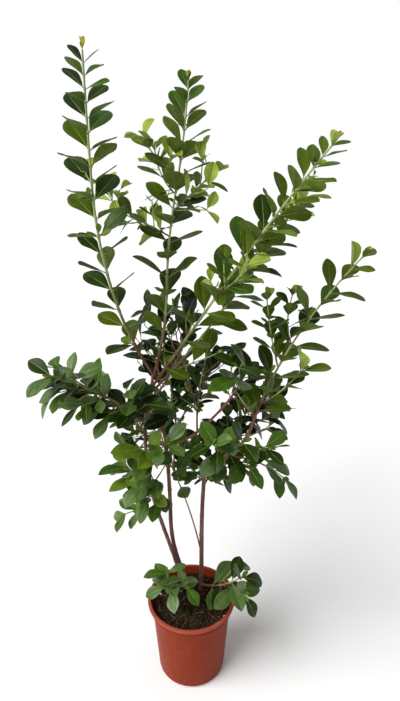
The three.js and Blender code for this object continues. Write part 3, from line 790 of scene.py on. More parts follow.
def add_leaf(blades, stalks, leaf, tone, folded):
    """Upper and lower sheets that meet along the rim, and the stalk that runs on as the midrib.
    tone is the slots of the face, the midrib and the back."""
    rows = LEAF_ROWS if leaf.length > SMALL_LEAF else SMALL_ROWS
    ranges = (YOUNG_FOLD if folded else FOLD_RANGE, CURL_RANGE, WAVE_RANGE, WAVES, (0, math.tau))
    form = [looks.between(*span) for span in ranges]
    t = np.linspace(0, 1, rows + 1)
    # The rows stand closer together at both ends
    t = 0.5 * t + 0.25 * (1 - np.cos(math.pi * t))
    s = PETIOLE + (1 - PETIOLE) * t
    thickness = LEAF_THICKNESS * min(leaf.length / THICK_FROM, 1)
    upper, lower = [leaf_sheet(leaf, s[1:-1], drop, *form) for drop in (0, thickness)]
    points = np.vstack([leaf.middle(s[[0, -1]]), upper.reshape(-1, 3), lower[:, 1:-1].reshape(-1, 3)])
    columns = upper.shape[1]
    top = 2 + np.arange(len(upper) * columns).reshape(-1, columns)
    under = top[-1, -1] + 1 + np.arange(len(upper) * (columns - 2)).reshape(-1, columns - 2)
    bottom = np.concatenate([top[:, :1], under, top[:, -1:]], axis=1)
    v = np.array([*LEAF_COLUMNS[:3], -RIB_MAP, RIB_MAP, *LEAF_COLUMNS[3:]])
    row_map = np.stack(np.broadcast_arrays(t[1:-1, None], v[None]), axis=-1)
    maps = np.vstack([[[0, 0], [1, 0]], row_map.reshape(-1, 2), row_map[:, 1:-1].reshape(-1, 2)])
    face, rib, back = tone
    faces, slots = [], []
    for sheet, flip, slot in ((top, False, face), (bottom, True, back)):
        grid = np.stack([sheet[:-1, :-1], sheet[:-1, 1:], sheet[1:, 1:], sheet[1:, :-1]], axis=-1)
        tip = np.stack([np.full(columns - 1, 1), sheet[-1, :-1], sheet[-1, 1:]], axis=-1)
        base = np.stack([np.full(columns - 1, 0), sheet[0, 1:], sheet[0, :-1]], axis=-1)
        kind = np.full(columns - 1, slot)
        if not flip:
            kind[columns // 2 - 1] = rib
        for part in (grid.reshape(-1, 4), tip, base):
            faces.append(part[:, ::-1] if flip else part)
            slots.append(np.tile(kind, len(part) // len(kind)))
    blades.add(points, faces, slots, maps)
    shares = np.array(PETIOLE_SHARES)
    below = np.clip((shares - PETIOLE) / PETIOLE_SINKS, 0, 1) * thickness
    centers = leaf.middle(shares) - below[:, None] * leaf.normal(shares)
    radii = np.interp(shares, [0, 1], PETIOLE_RADIUS) * min(leaf.length / STOUT_FROM, 1)
    tangents = np.cross(leaf.normal(shares), leaf.side)
    add_tube(stalks, centers, radii, np.tile(leaf.side, (len(shares), 1)), tangents, PETIOLE_SIDES, 0)


def bark_radii(stem, lengths, turns):
    """The limb's radius for each ring and side: its taper, flare, streaks, leaf scars and knots."""
    total = stem.spec["length"]
    around, up = np.meshgrid(turns, lengths)
    radius = np.array([stem.radius_at(length / total) for length in lengths])
    if "foot" in stem.spec:
        radius = radius + FLARE * np.exp(-lengths / FLARE_HEIGHT)
    else:
        radius = radius + COLLAR_SWELL * np.exp(-(lengths / COLLAR_REACH) ** 2)
    scar = looks.between(*SCAR_STEP)
    while scar < total:
        radius = radius + SCAR_SWELL * np.exp(-((lengths - scar) / SCAR_REACH) ** 2)
        scar += looks.between(*SCAR_STEP)
    relief = np.zeros_like(around)
    for k in range(BARK_STREAKS):
        ridges = 2 + k % 6
        rate = looks.between(*STREAK_TURN)
        start = looks.between(0, math.tau)
        slow = looks.between(*STREAK_FADE)
        swing = 0.5 + 0.5 * np.sin(slow * up + start * 3)
        relief = relief + swing * np.sin(ridges * around + rate * up + start) / math.sqrt(ridges)
    relief = relief * BARK_RELIEF / math.sqrt(BARK_STREAKS)
    for _ in range(KNOT_COUNT):
        place = looks.between(*KNOT_PLACE) * total
        side = looks.between(0, math.tau)
        size = looks.between(*KNOT_SIZE)
        height = looks.between(*KNOT_HEIGHT)
        gap = np.angle(np.exp(1j * (around - side))) * stem.radius[0]
        relief = relief + height * np.exp(-(gap ** 2 + (up - place) ** 2) / size ** 2)
    return radius[:, None] + relief


def limb_shape(stem):
    total = stem.spec["length"]
    count = max(6, int(total / BARK_RING_STEP))
    shares = np.linspace(0, 1, count + 1)
    centers = np.array([along(stem.line, share) for share in shares])
    axes, across = frames_along(stem.spec, shares)
    if "foot" in stem.spec:
        axes[0] = (0, 0, 1)
        across[0] = unit(across[0] * (1, 1, 0))
        centers[0, 2] -= FOOT_SUNK
    shape = Shape()
    radii = bark_radii(stem, shares * total, turns_of(BARK_SIDES))
    add_tube(shape, centers, radii, across, axes, BARK_SIDES, 0)
    return shape


def add_twig(shape, stem, tones, sides=TWIG_SIDES):
    """A leafy stem, swollen where its leaves stand, its colour by its share."""
    total = stem.spec["length"]
    count = max(3, int(total / TWIG_RING_STEP))
    shares = np.unique(np.concatenate([np.linspace(0, 1, count + 1), stem.nodes]))
    centers = np.array([along(stem.line, share) for share in shares])
    axes, across = frames_along(stem.spec, shares)
    radii = np.array([stem.radius_at(share) for share in shares])
    for node in stem.nodes:
        radii = radii * (1 + NODE_SWELL * np.exp(-((shares - node) * total / NODE_REACH) ** 2))
    middles = (shares[:-1] + shares[1:]) / 2
    slots = np.searchsorted([end for end, _ in tones], middles)
    names = [list(TWIG_MATERIALS).index(name) for _, name in tones]
    add_tube(shape, centers, radii, across, axes, sides, np.array(names)[slots])


def short_stem(owner, root, d, length, radius):
    """A stem of two pairs that rises a little."""
    heading, lean = angles_of(d)
    spec = dict(
        heading=(heading, heading), lean=(lean, lean * SMALL_STEM_RISE), length=length, pairs=2,
        bare=SMALL_STEM_BARE,
    )
    return Stem(owner, root, spec, radius)


def small_pair(stem, index, length, spread, phase):
    """Two leaves at one of a small stem's shares, opposite each other."""
    t = direction_at(stem.spec, stem.shares[index])
    pair = []
    for half in (0, 180):
        lean = math.radians(spread + looks.between(*PAIR_TURN))
        d = aside(t, stem.sides[index], math.radians(phase + half), lean)
        size = length * looks.between(*PAIR_SIZE)
        pair.append(Leaf(stem, index, d, size, looks.between(*PAIR_DROOP), looks.between(*PAIR_TWIST)))
    return pair


def small_pairs(stem, length, spread, phase, taper=0):
    """The pairs of a small stem, each across the one below it."""
    for k, node in enumerate(stem.nodes):
        index = stem.shares.index(node)
        yield from small_pair(stem, index, length * (1 - taper * k), spread, 90 * k + phase)


# Tones of the leaves, each of a face, a midrib and a back, and where they grow
TONE_FACES = {
    **{tone: (tone, "rib", "under") for tone in ("painted_shade", "dark", "olive", "green")},
    **{tone: (tone, "pale_rib", "under") for tone in ("sheen", "fresh")},
    **{tone: (tone, "pale_rib", "young_under") for tone in ("young", "tip")},
    "bud": ("bud", "bud", "tip"),
}
FOLDED_TONES = ("young", "tip", "bud")
# The core and back masses and the centre and trunk sprays stand inside the crown. They are dealt the
# darkest tone, and dark ones with it, as painted shade.
MASS_TONES = {
    "leader_far_left": ("dark", "olive", "dark", "dark", "olive", "green"),
    "leader": ("olive", "fresh", "dark", "olive", "olive", "green", "olive"),
    "spray_core": ("painted_shade", "painted_shade", "dark", "painted_shade", "green"),
    "spray_back": ("painted_shade", "dark", "dark", "green"),
    "spray_low_right": ("dark", "green", "sheen", "dark"),
    "spray_low": ("green", "sheen", "fresh", "sheen"),
    "spray_left": ("green", "sheen", "green", "dark", "sheen"),
    "spray": ("green", "dark", "painted_shade", "sheen", "dark"),
    "twig": ("green", "sheen", "green"),
    "basal": ("green", "sheen", "green", "sheen", "dark"),
}
YOUNG_FROM = {
    "leader_far_left": 0.98, "leader_middle": 1, "leader_right_upper": 0.82,
    "leader_right_lower": 0.88, "leader_far_right": 0.86,
}
YOUNG_TIP_TONES = ("young", "fresh", "young", "olive")
YOUNG_TWIG_TONES = ("young", "young", "young", "fresh")
YOUNG_LOW_TONES = ("young", "fresh", "young", "olive")
GREENER_TWIGS = "leader_right_upper"
GREENER_TONES = ("fresh", "olive", "fresh", "young")
LEADER_TWIGS = ((0.14, "twig_red"), (0.24, "twig_brown"), (0.4, "twig_green"), (1, "twig_pale"))
SPRAY_TWIGS = ((0.3, "twig_red"), (0.6, "twig_brown"), (1, "twig_green"))
LEADER_SHOOTS = ((1, "twig_pale"),)
SPRAY_SHOOTS = ((0.7, "twig_brown"), (1, "twig_green"))


def young_tone(leaf, name):
    if name == GREENER_TWIGS:
        return looks.one_of(GREENER_TONES)
    return looks.one_of(YOUNG_TWIG_TONES if leaf.share > YOUNG_HALF else YOUNG_LOW_TONES)


def tone_of(leaf, name):
    if leaf.stem.spec.get("young"):
        leaf.width *= YOUNG_WIDTH
        return young_tone(leaf, name)
    if leaf.share > YOUNG_FROM.get(name, 1):
        return looks.one_of(YOUNG_TIP_TONES)
    key = next(key for key in MASS_TONES if name.startswith(key))
    return looks.one_of(MASS_TONES[key])


class Growth:
    """What grows in one mass: its leafy stems, its short shoots and its leaves with their tones."""

    def __init__(self, name, own_stems):
        self.stems = own_stems
        self.shoots = []
        self.leaves = [(leaf, tone_of(leaf, name)) for leaf in grow_leaves(name, own_stems)]
        self.leaves += [(leaf, "tip") for leaf in bud_leaves(own_stems[0], 0, 1)]
        self.leaves += [(leaf, "bud") for leaf in bud_leaves(own_stems[0], 90, BUD_HEART)]


def add_shoots(name, growth):
    """Young pairs at the stems' tips, and short shoots in the forks of some leaves."""
    tone = "young" if name.startswith("leader") else "fresh"
    for stem in growth.stems:
        if not stem.spec.get("bud"):
            length = looks.between(*TIP_LEAF)
            pair = small_pair(stem, len(stem.points) - 1, length, TIP_SPREAD, looks.between(0, 90))
            growth.leaves += [(leaf, tone) for leaf in pair]
        for share in stem.nodes[:-2]:
            if share < BUSHY_TIPS.get(name, 1) and not looks.chance(SHOOT_CHANCE):
                continue
            index = stem.shares.index(share)
            t = direction_at(stem.spec, share)
            phi = looks.between(0, math.tau)
            d = unit(aside(t, stem.sides[index], phi, math.radians(SHOOT_LEAN)))
            length = looks.between(*SHOOT_LENGTH)
            size = looks.between(*SHOOT_LEAF)
            shoot = short_stem(name, stem.points[index], d, length, SHOOT_RADIUS)
            growth.shoots.append(shoot)
            shoot_tone = tone if share > YOUNG_SHOOTS_FROM else "fresh"
            pairs = small_pairs(shoot, size, SHOOT_SPREAD, phi, SHOOT_TAPER)
            growth.leaves += [(leaf, shoot_tone) for leaf in pairs]


def add_fill(name, growth, carriers):
    """Side twigs between the carriers' leaf pairs, in the space of the mass's own leaves. One that
    would stand nearly bare is left out."""
    kept = [leaf.samples() for leaf, _ in growth.leaves]
    low = np.vstack(kept).min(0)
    high = np.vstack(kept).max(0)
    young = name in YOUNG_FILL_MASSES
    longest = FILL_FAR if name.startswith(FAR_FILL_MASSES) else FILL_LENGTH[1]
    tone = young_tone if young else tone_of
    for stem in carriers:
        if young and not stem.spec.get("young"):
            continue
        for before, after in zip([0, *stem.nodes], stem.nodes):
            share = (before + after) / 2
            t = direction_at(stem.spec, share)
            side = unit(np.cross(t, FILL_SIDE))
            for _ in range(FILL_TRIES):
                phi = looks.between(0, math.tau)
                d = unit(aside(t, side, phi, math.radians(looks.between(*FILL_LEAN))))
                length = looks.between(FILL_LENGTH[0], longest)
                size = looks.between(*(YOUNG_FILL_LEAF if young else FILL_LEAF))
                twig = short_stem(name, along(stem.line, share), d, length, FILL_RADIUS)
                if not twig_is_clear(twig):
                    continue
                found, spots = [], []
                for leaf in small_pairs(twig, size, FILL_SPREAD, phi):
                    points = leaf.samples()
                    inside = (points > low).all() and (points < high).all()
                    if inside and leaf_is_clear(points, name, kept + spots):
                        found.append(leaf)
                        spots.append(points)
                if len(found) >= FILL_LEAST and found[-1].share > twig.nodes[0]:
                    kept += spots
                    growth.shoots.append(twig)
                    growth.leaves += [(leaf, tone(leaf, name)) for leaf in found]
                    break


# Materials

def linear(red, green, blue):
    """A colour given as the eye sees it, 0 to 255, as the shader takes it."""
    return tuple((c / 255) ** 2.2 for c in (red, green, blue)) + (1,)


class Shader:
    """A material built from nodes around one Principled shader."""

    def __init__(self, name, roughness, specular=0.5):
        self.material = bpy.data.materials.new(name)
        self.material.use_nodes = True
        self.tree = self.material.node_tree
        self.surface = self.tree.nodes["Principled BSDF"]
        self.surface.inputs["Roughness"].default_value = roughness
        self.surface.inputs["Specular IOR Level"].default_value = specular

    def put(self, socket, value):
        if isinstance(value, bpy.types.NodeSocket):
            self.tree.links.new(value, socket)
        else:
            socket.default_value = value

    def node(self, kind, inputs=None, **settings):
        made = self.tree.nodes.new("ShaderNode" + kind)
        for key, value in settings.items():
            setattr(made, key, value)
        for key, value in (inputs or {}).items():
            self.put(made.inputs[key], value)
        return made

    def places(self, stretch=(1, 1, 1)):
        inputs = {"Vector": self.node("TexCoord").outputs["Object"], "Scale": stretch}
        return self.node("Mapping", inputs).outputs["Vector"]

    def noise(self, scale, detail=3, roughness=0.5, stretch=(1, 1, 1)):
        inputs = {"Vector": self.places(stretch), "Scale": scale, "Detail": detail, "Roughness": roughness}
        return self.node("TexNoise", inputs).outputs["Fac"]

    def ramp(self, fac, *stops):
        """stops are (position, value)."""
        made = self.node("ValToRGB", {"Fac": fac})
        for element, (position, value) in zip(made.color_ramp.elements, stops):
            element.position = position
            element.color = (value, value, value, 1)
        return made.outputs["Color"]

    def mix(self, fac, a, b):
        return self.node("Mix", {0: fac, 6: a, 7: b}, data_type="RGBA").outputs[2]

    def maths(self, operation, a, b=0.0):
        return self.node("Math", {0: a, 1: b}, operation=operation).outputs[0]

    def colour(self, value):
        self.put(self.surface.inputs["Base Color"], value)

    def gloss(self, fac, low, high):
        span = self.node("MapRange", {"Value": fac, "To Min": low, "To Max": high}).outputs[0]
        self.put(self.surface.inputs["Roughness"], span)

    def bump(self, *layers):
        """layers are (height, distance in metres, strength), the broadest first."""
        below = {}
        for height, distance, strength in layers:
            inputs = {"Height": height, "Distance": distance, "Strength": strength, **below}
            below = {"Normal": self.node("Bump", inputs).outputs["Normal"]}
        self.put(self.surface.inputs["Normal"], below["Normal"])


def shade(colour, factor):
    return tuple(c * factor for c in colour[:3]) + (1,)


def leaf_material(name, colour, roughness=0.4, specular=0.22, veins=0.3):
    """A leathery blade: paler midrib, side veins and rim, quilted between them by its finest veins."""
    made = Shader(name, roughness, specular)
    blade = made.node("SeparateXYZ", {"Vector": made.node("UVMap", uv_map="blade").outputs["UV"]})
    off = made.maths("ABSOLUTE", blade.outputs["Y"])
    run = made.maths("SUBTRACT", blade.outputs["X"], made.maths("MULTIPLY", off, 0.22))
    wave = made.maths("ABSOLUTE", made.maths("SINE", made.maths("MULTIPLY", run, 44)))
    quilt = made.node("TexVoronoi", {"Vector": made.places(), "Scale": 480}, feature="DISTANCE_TO_EDGE")
    cell = made.ramp(quilt.outputs["Distance"], (0.0, 0.0), (0.3, 1.0))
    vein = made.ramp(wave, (0.0, 1.0), (0.35, 0.0))
    middle = made.ramp(off, (0.0, 1.0), (0.16, 0.0))
    rim = made.ramp(off, (0.84, 0.0), (1.0, 1.0))
    mottle = made.ramp(made.noise(70), (0.3, 0.0), (0.7, 1.0))
    base = made.mix(mottle, shade(colour, 0.8), shade(colour, 1.35))
    for mask, strength, factor in ((cell, 0.6, 0.6), (vein, 0.22, 1.8), (rim, 0.4, 2), (middle, 0.3, 1.8)):
        base = made.mix(made.maths("MULTIPLY", mask, strength), base, shade(colour, factor))
    made.colour(base)
    made.gloss(made.noise(160), roughness - 0.08, roughness + 0.12)
    made.bump((wave, 0.0003, veins), (cell, 0.0002, veins), (made.noise(700, 2), 0.0001, 0.15))
    return made.material


def plain_material(name, colour, roughness):
    """One colour with a fine mottle and grain, for small parts."""
    made = Shader(name, roughness)
    made.colour(made.mix(made.noise(300), shade(colour, 0.8), shade(colour, 1.2)))
    made.bump((made.noise(900, 2), 0.0002, 0.3))
    return made.material


def bark_material(name, dark, light):
    """Smooth bark with long pale streaks and fine cracks, as it flakes."""
    made = Shader(name, 0.62, 0.4)
    streak = made.ramp(made.noise(190, 5, 0.6, (1, 1, 0.14)), (0.38, 0.0), (0.66, 1.0))
    patch = made.ramp(made.noise(70, 3, 0.5, (1, 1, 0.4)), (0.35, 0.0), (0.7, 1.0))
    base = made.mix(streak, dark, light)
    made.colour(made.mix(made.maths("MULTIPLY", patch, 0.45), base, shade(dark, 0.6)))
    made.gloss(streak, 0.72, 0.54)
    cracks = made.noise(420, 4, 0.7, (1, 1, 0.12))
    made.bump((streak, 0.0004, 0.5), (cracks, 0.0003, 0.6))
    return made.material


def pot_material(name, dark, light, dusty):
    """Moulded plastic: streaks down the wall, a little dust and soil rubbed into it, fine grain."""
    made = Shader(name, 0.5, 0.06)
    flow = made.noise(60, 3, 0.5, (1, 1, 0.08))
    dust = made.ramp(made.noise(38, 6, 0.7), (0.55, 0.0), (0.8, 0.6))
    made.colour(made.mix(dust, made.mix(flow, dark, light), dusty))
    made.gloss(made.noise(140, 4), 0.38, 0.55)
    made.bump((flow, 0.0003, 0.15), (made.noise(1500, 2), 0.00005, 0.3))
    return made.material


def soil_material(name, dark, light):
    made = Shader(name, 0.95, 0.2)
    grain = made.ramp(made.noise(420, 5, 0.7), (0.4, 0.0), (0.68, 1.0))
    made.colour(made.mix(grain, dark, light))
    made.bump((made.noise(300, 5, 0.7), 0.001, 0.8))
    return made.material


LEAF_MATERIALS = {
    # The darkest colour is painted shade, for leaves inside the crown.
    "painted_shade": leaf_material("leaf_painted_shade", linear(20, 36, 6)),
    "dark": leaf_material("leaf_dark", linear(40, 60, 4)),
    "olive": leaf_material("leaf_olive", linear(74, 92, 5)),
    "green": leaf_material("leaf_green", linear(62, 92, 20), 0.36, 0.35),
    # Paler and greyer than the other greens: a painted sheen of the white sky, on top of the real gloss
    # from its lower roughness and stronger specular.
    "sheen": leaf_material("leaf_sheen", linear(78, 104, 50), 0.34, 0.45),
    "fresh": leaf_material("leaf_fresh", linear(96, 120, 30)),
    "young": leaf_material("leaf_young", linear(150, 170, 66), 0.45, 0.2, 0.1),
    "tip": leaf_material("leaf_tip", linear(196, 170, 54), 0.45, 0.2, 0.1),
    "bud": leaf_material("leaf_bud", linear(128, 62, 30), 0.45, 0.3, 0.1),
    "rib": plain_material("rib_green", linear(72, 92, 26), 0.5),
    "pale_rib": plain_material("rib_pale", linear(92, 118, 48), 0.5),
    "under": leaf_material("leaf_back", linear(86, 104, 44), 0.6, 0.2),
    "young_under": leaf_material("leaf_back_young", linear(146, 164, 78), 0.6, 0.2, 0.1),
}
TWIG_MATERIALS = {
    "twig_red": plain_material("twig_red", linear(112, 68, 52), 0.6),
    "twig_brown": plain_material("twig_brown", linear(124, 104, 74), 0.6),
    "twig_green": plain_material("twig_green", linear(132, 142, 84), 0.5),
    "twig_pale": plain_material("twig_pale", linear(166, 176, 118), 0.48),
}
STALK = plain_material("stalk", linear(118, 134, 62), 0.5)
BARK = {
    "stem": bark_material("bark_stem", linear(84, 52, 42), linear(138, 100, 84)),
    "bough": bark_material("bark_bough", linear(108, 60, 46), linear(152, 106, 84)),
}


def placed(name, data):
    """An object of the scene."""
    made = bpy.data.objects.new(name, data)
    bpy.context.scene.collection.objects.link(made)
    return made


def piece(shape, name, node, materials, angle=50):
    """The shape's object, which rides on the part's one body and stands for a CAD node."""
    mesh = shape.mesh(name)
    for material in materials:
        mesh.materials.append(material)
    mesh.shade_smooth()
    mesh.set_sharp_from_angle(angle=math.radians(angle))
    made = placed(name, mesh)
    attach(made, "root")
    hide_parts(node)
    return made


def make_plant():
    grow_main_stems()
    growths = {name: Growth(name, own_stems) for name, own_stems in grow_twigs().items()}
    for name, growth in growths.items():
        if name.startswith(FILL_MASSES + YOUNG_FILL_MASSES):
            add_fill(name, growth, growth.stems)
        if name.startswith(FAR_FILL_MASSES):
            # A copy, because the fill adds to the shoots
            add_fill(name, growth, [*growth.shoots])
        add_shoots(name, growth)
    for name in LIMBS:
        kind = "stem" if name.startswith("stem") else "bough"
        piece(limb_shape(stems[name]), name + "_bark", name, [BARK[kind]])
    leaf_slots = list(LEAF_MATERIALS)
    for name, growth in growths.items():
        of_leader = name.startswith("leader")
        twigs, blades, stalks = Shape(), Shape(), Shape()
        for stem in growth.stems:
            add_twig(twigs, stem, LEADER_TWIGS if of_leader else SPRAY_TWIGS)
        for shoot in growth.shoots:
            add_twig(twigs, shoot, LEADER_SHOOTS if of_leader else SPRAY_SHOOTS, SHOOT_SIDES)
        for leaf, tone in growth.leaves:
            slots = [leaf_slots.index(part) for part in TONE_FACES[tone]]
            add_leaf(blades, stalks, leaf, slots, tone in FOLDED_TONES)
        piece(twigs, name + "_twigs", name, TWIG_MATERIALS.values())
        piece(blades, name + "_leaves", name, LEAF_MATERIALS.values())
        piece(stalks, name + "_stalks", name, [STALK])


# Pot

POT_SEGMENTS = 144
ARC_STEPS = 5
COLLAR_BEAD = 1
GROOVE_HALF = 1.5
GROOVE_DEPTH = 0.8


def rounded(outline):
    """An outline of (radius, height, rounding) with its corners turned into arcs."""
    points = []
    for i, (r, z, rounding) in enumerate(outline):
        corner = np.array([r, z], float)
        if not rounding:
            points.append(corner)
            continue
        before = unit(np.array(outline[i - 1][:2], float) - corner)
        after = unit(np.array(outline[i + 1][:2], float) - corner)
        half = math.acos(min(max(before @ after, -1), 1)) / 2
        reach = rounding / math.tan(half)
        center = corner + unit(before + after) * rounding / math.sin(half)
        start = corner + before * reach - center
        end = corner + after * reach - center
        turn = math.atan2(start[0] * end[1] - start[1] * end[0], start @ end)
        for k in range(ARC_STEPS + 1):
            a = turn * k / ARC_STEPS
            c, s = math.cos(a), math.sin(a)
            points.append(center + (start[0] * c - start[1] * s, start[0] * s + start[1] * c))
    return np.array(points)


def notch_rise(r, angle):
    """How far the foot's underside is lifted: six shallow notches in its edge, for the drains."""
    step = math.tau / NOTCHES
    off = (angle - math.radians(NOTCH_START) + step / 2) % step - step / 2
    width = np.clip((NOTCH_WIDTH / 2 + 1 - abs(off) * BODY_FOOT_RADIUS) / 2, 0, 1)
    return NOTCH_HEIGHT * width * np.clip((r - BODY_FOOT_RADIUS + FOOT_ROUND) / 2, 0, 1)


def make_pot():
    collar_foot = POT_HEIGHT - COLLAR_HEIGHT
    lip_foot = POT_HEIGHT - LIP_HEIGHT
    groove = (collar_foot + lip_foot) / 2
    bead_radius = COLLAR_FOOT_RADIUS + COLLAR_BEAD
    outline = rounded([
        (0, 0, 0),
        (BODY_FOOT_RADIUS - FOOT_ROUND, 0, 0),
        (BODY_FOOT_RADIUS, 0.01, FOOT_ROUND - 1),
        (BODY_TOP_RADIUS, collar_foot, 0.8),
        (COLLAR_FOOT_RADIUS, collar_foot, 1.2),
        (bead_radius, groove - GROOVE_HALF, 0.4),
        (bead_radius - GROOVE_DEPTH, groove, 0.4),
        (bead_radius, groove + GROOVE_HALF, 0.4),
        (COLLAR_TOP_RADIUS, lip_foot, 0.8),
        (RIM_RADIUS, lip_foot, 1.2),
        (RIM_RADIUS, POT_HEIGHT, 1.8),
        (COLLAR_TOP_RADIUS - WALL, POT_HEIGHT, 1.2),
        (BODY_TOP_RADIUS - WALL, collar_foot, 1.5),
        (BODY_FOOT_RADIUS - WALL, FOOT_ROUND, 0),
        (BODY_FOOT_RADIUS - WALL - FOOT_ROUND, FLOOR, 0),
        (0, FLOOR, 0),
    ])
    rings = outline[1:-1]
    r, angle = np.meshgrid(rings[:, 0], turns_of(POT_SEGMENTS), indexing="ij")
    z = np.repeat(rings[:, 1:], POT_SEGMENTS, axis=1)
    z = np.where(z < NOTCH_HEIGHT * 2, np.maximum(z, notch_rise(r, angle)), z)
    wall_rings = np.stack([r * np.cos(angle), r * np.sin(angle), z], axis=-1)
    points, faces = closed_grid(wall_rings, (0, 0, outline[0, 1]), (0, 0, outline[-1, 1]))
    middles = (rings[:-1] + rings[1:]) / 2
    # The rows of the rim's outer band and top get paler colours of the same plastic. This is a painted
    # highlight where the rim faces up into the light, and the wall's dust mottle runs over it too.
    lip_highlight_rows = (middles[:, 0] > COLLAR_TOP_RADIUS) & (middles[:, 1] > lip_foot)
    shape = Shape()
    shape.add(points, faces, [np.repeat(lip_highlight_rows.astype(int), POT_SEGMENTS), 0, 0])
    wall = pot_material("pot_plastic", linear(122, 45, 24), linear(137, 53, 29), linear(150, 80, 56))
    # Paler copy of the plastic for the rim: painted highlight.
    lip_highlight = pot_material("pot_lip_highlight", linear(150, 70, 54), linear(160, 82, 66), linear(178, 116, 98))
    piece(shape, "pot_wall", "pot", [wall, lip_highlight], 60)


# Soil

SOIL_RADIUS = 82
SOIL_RINGS = 44
SOIL_SEGMENTS = 150
SOIL_WAVES = 16
SOIL_WAVELENGTHS = (7, 42)
SOIL_SWELL = 5
SOIL_EDGE_DROP = 3
SOIL_EDGE = 8
SOIL_DEPTH = 12
STREWN_SHARE = 0.985
CRUMBS = 1500
CRUMB_SIZE = (0.7, 3.2)
CRUMB_SHRINK = (0.4, 1)
CRUMB_STRETCH = (0.6, 1.3)
CRUMB_ROUGHNESS = (0.8, 1.2)
CRUMB_RISE = 0.2
GRIT_CHANCE = 0.012
BROWN_CHANCE = 0.3
BALL_EDGE = 1.1
FIBRES = 110
FIBRE_LENGTH = (6, 26)
FIBRE_CURL = (-1.6, 1.6)
FIBRE_STEPS = 7
FIBRE_LIFT = 0.4
FIBRE_RISE = (0.3, 2.2)
FIBRE_RADIUS = (0.25, 0.6)
FIBRE_SIDES = 4
FIBRE_EDGE = 1.5
MOSS_PATCHES = (
    (-14, -34, 20), (10, -48, 14), (-38, -22, 12), (-2, -14, 10), (28, -26, 9), (44, 12, 8), (-46, 20, 9),
)
MOSS_TUFTS = 3600
MOSS_CROWD = 0.7
MOSS_STRETCH = 1.2
MOSS_HEIGHT = (1.2, 3.4)
MOSS_WIDTH = (0.4, 0.9)
MOSS_TILT = (0, 1.4)
MOSS_LEAN = 0.7
MOSS_EDGE = 3
MOSS_BRIGHT_CHANCE = 0.35

soil_waves = []


def set_soil_waves():
    """The waves whose sum is the soil's surface, each (rate along X, rate along Y, start, length)."""
    for _ in range(SOIL_WAVES):
        length = looks.between(*SOIL_WAVELENGTHS)
        turn = looks.between(0, math.tau)
        a, b = math.cos(turn) * math.tau / length, math.sin(turn) * math.tau / length
        soil_waves.append((a, b, looks.between(0, math.tau), length))


def soil_height(x, y):
    rise = sum(length * np.sin(a * x + b * y + start) for a, b, start, length in soil_waves)
    rise = rise / (sum(length for *_, length in soil_waves)) * SOIL_SWELL * 2
    r = np.hypot(x, y) / SOIL_RADIUS
    return SOIL_TOP + rise * (1 - r ** 6) - SOIL_EDGE_DROP * r ** 4


def unit_crumb():
    """The corners and faces of a twenty-sided ball."""
    g = (1 + math.sqrt(5)) / 2
    points = []
    for a in (-1, 1):
        for b in (-g, g):
            points += [(0, a, b), (a, b, 0), (b, 0, a)]
    points = np.array(points) / math.hypot(1, g)
    faces = []
    for i, j, k in itertools.combinations(range(len(points)), 3):
        a, b, c = points[[i, j, k]]
        if max(np.linalg.norm(a - b), np.linalg.norm(b - c), np.linalg.norm(a - c)) < BALL_EDGE:
            outward = np.cross(b - a, c - a) @ (a + b + c) > 0
            faces.append((i, j, k) if outward else (i, k, j))
    return points, np.array(faces)


def turned_at_random(points):
    axis = unit(np.array([looks.between(-1, 1) for _ in range(3)]))
    a = looks.between(0, math.tau)
    crossed = np.cross(axis, points)
    return points * math.cos(a) + crossed * math.sin(a) + np.outer(points @ axis, axis) * (1 - math.cos(a))


def place_on_soil():
    r = SOIL_RADIUS * STREWN_SHARE * math.sqrt(looks.between(0, 1))
    turn = looks.between(0, math.tau)
    return r * math.cos(turn), r * math.sin(turn)


def make_soil():
    set_soil_waves()
    r, angle = np.meshgrid(
        SOIL_RADIUS * np.linspace(0, 1, SOIL_RINGS + 1)[1:], turns_of(SOIL_SEGMENTS), indexing="ij",
    )
    x, y = r * np.cos(angle), r * np.sin(angle)
    rings = np.stack([x, y, soil_height(x, y)], axis=-1)
    rings = np.concatenate([rings, rings[-1:] - (0, 0, SOIL_EDGE)])
    points, faces = closed_grid(rings, (0, 0, soil_height(0, 0)), (0, 0, SOIL_TOP - SOIL_DEPTH))
    bed = Shape()
    bed.add(points, [part[:, ::-1] for part in faces], [0, 0, 0])
    earth = soil_material("soil_dark", linear(30, 22, 17), linear(62, 46, 36))
    piece(bed, "soil_bed", "soil", [earth])
    make_crumbs(earth)
    make_fibres()
    make_moss()


def make_crumbs(earth):
    crumbs = Shape()
    ball, faces = unit_crumb()
    for _ in range(CRUMBS):
        x, y = place_on_soil()
        size = looks.between(*CRUMB_SIZE) * looks.between(*CRUMB_SHRINK)
        stretch = np.array([looks.between(*CRUMB_STRETCH) for _ in range(3)])
        rough = np.array([looks.between(*CRUMB_ROUGHNESS) for _ in ball])[:, None]
        body = turned_at_random(ball * rough * stretch) * size
        slot = 2 if looks.chance(GRIT_CHANCE) else int(looks.chance(BROWN_CHANCE))
        crumbs.add(body + (x, y, soil_height(x, y) + size * CRUMB_RISE), [faces], [slot])
    brown = soil_material("soil_brown", linear(60, 42, 30), linear(104, 78, 56))
    grit = plain_material("soil_grit", linear(196, 190, 176), 0.8)
    piece(crumbs, "soil_crumbs", "soil", [earth, brown, grit], 30)


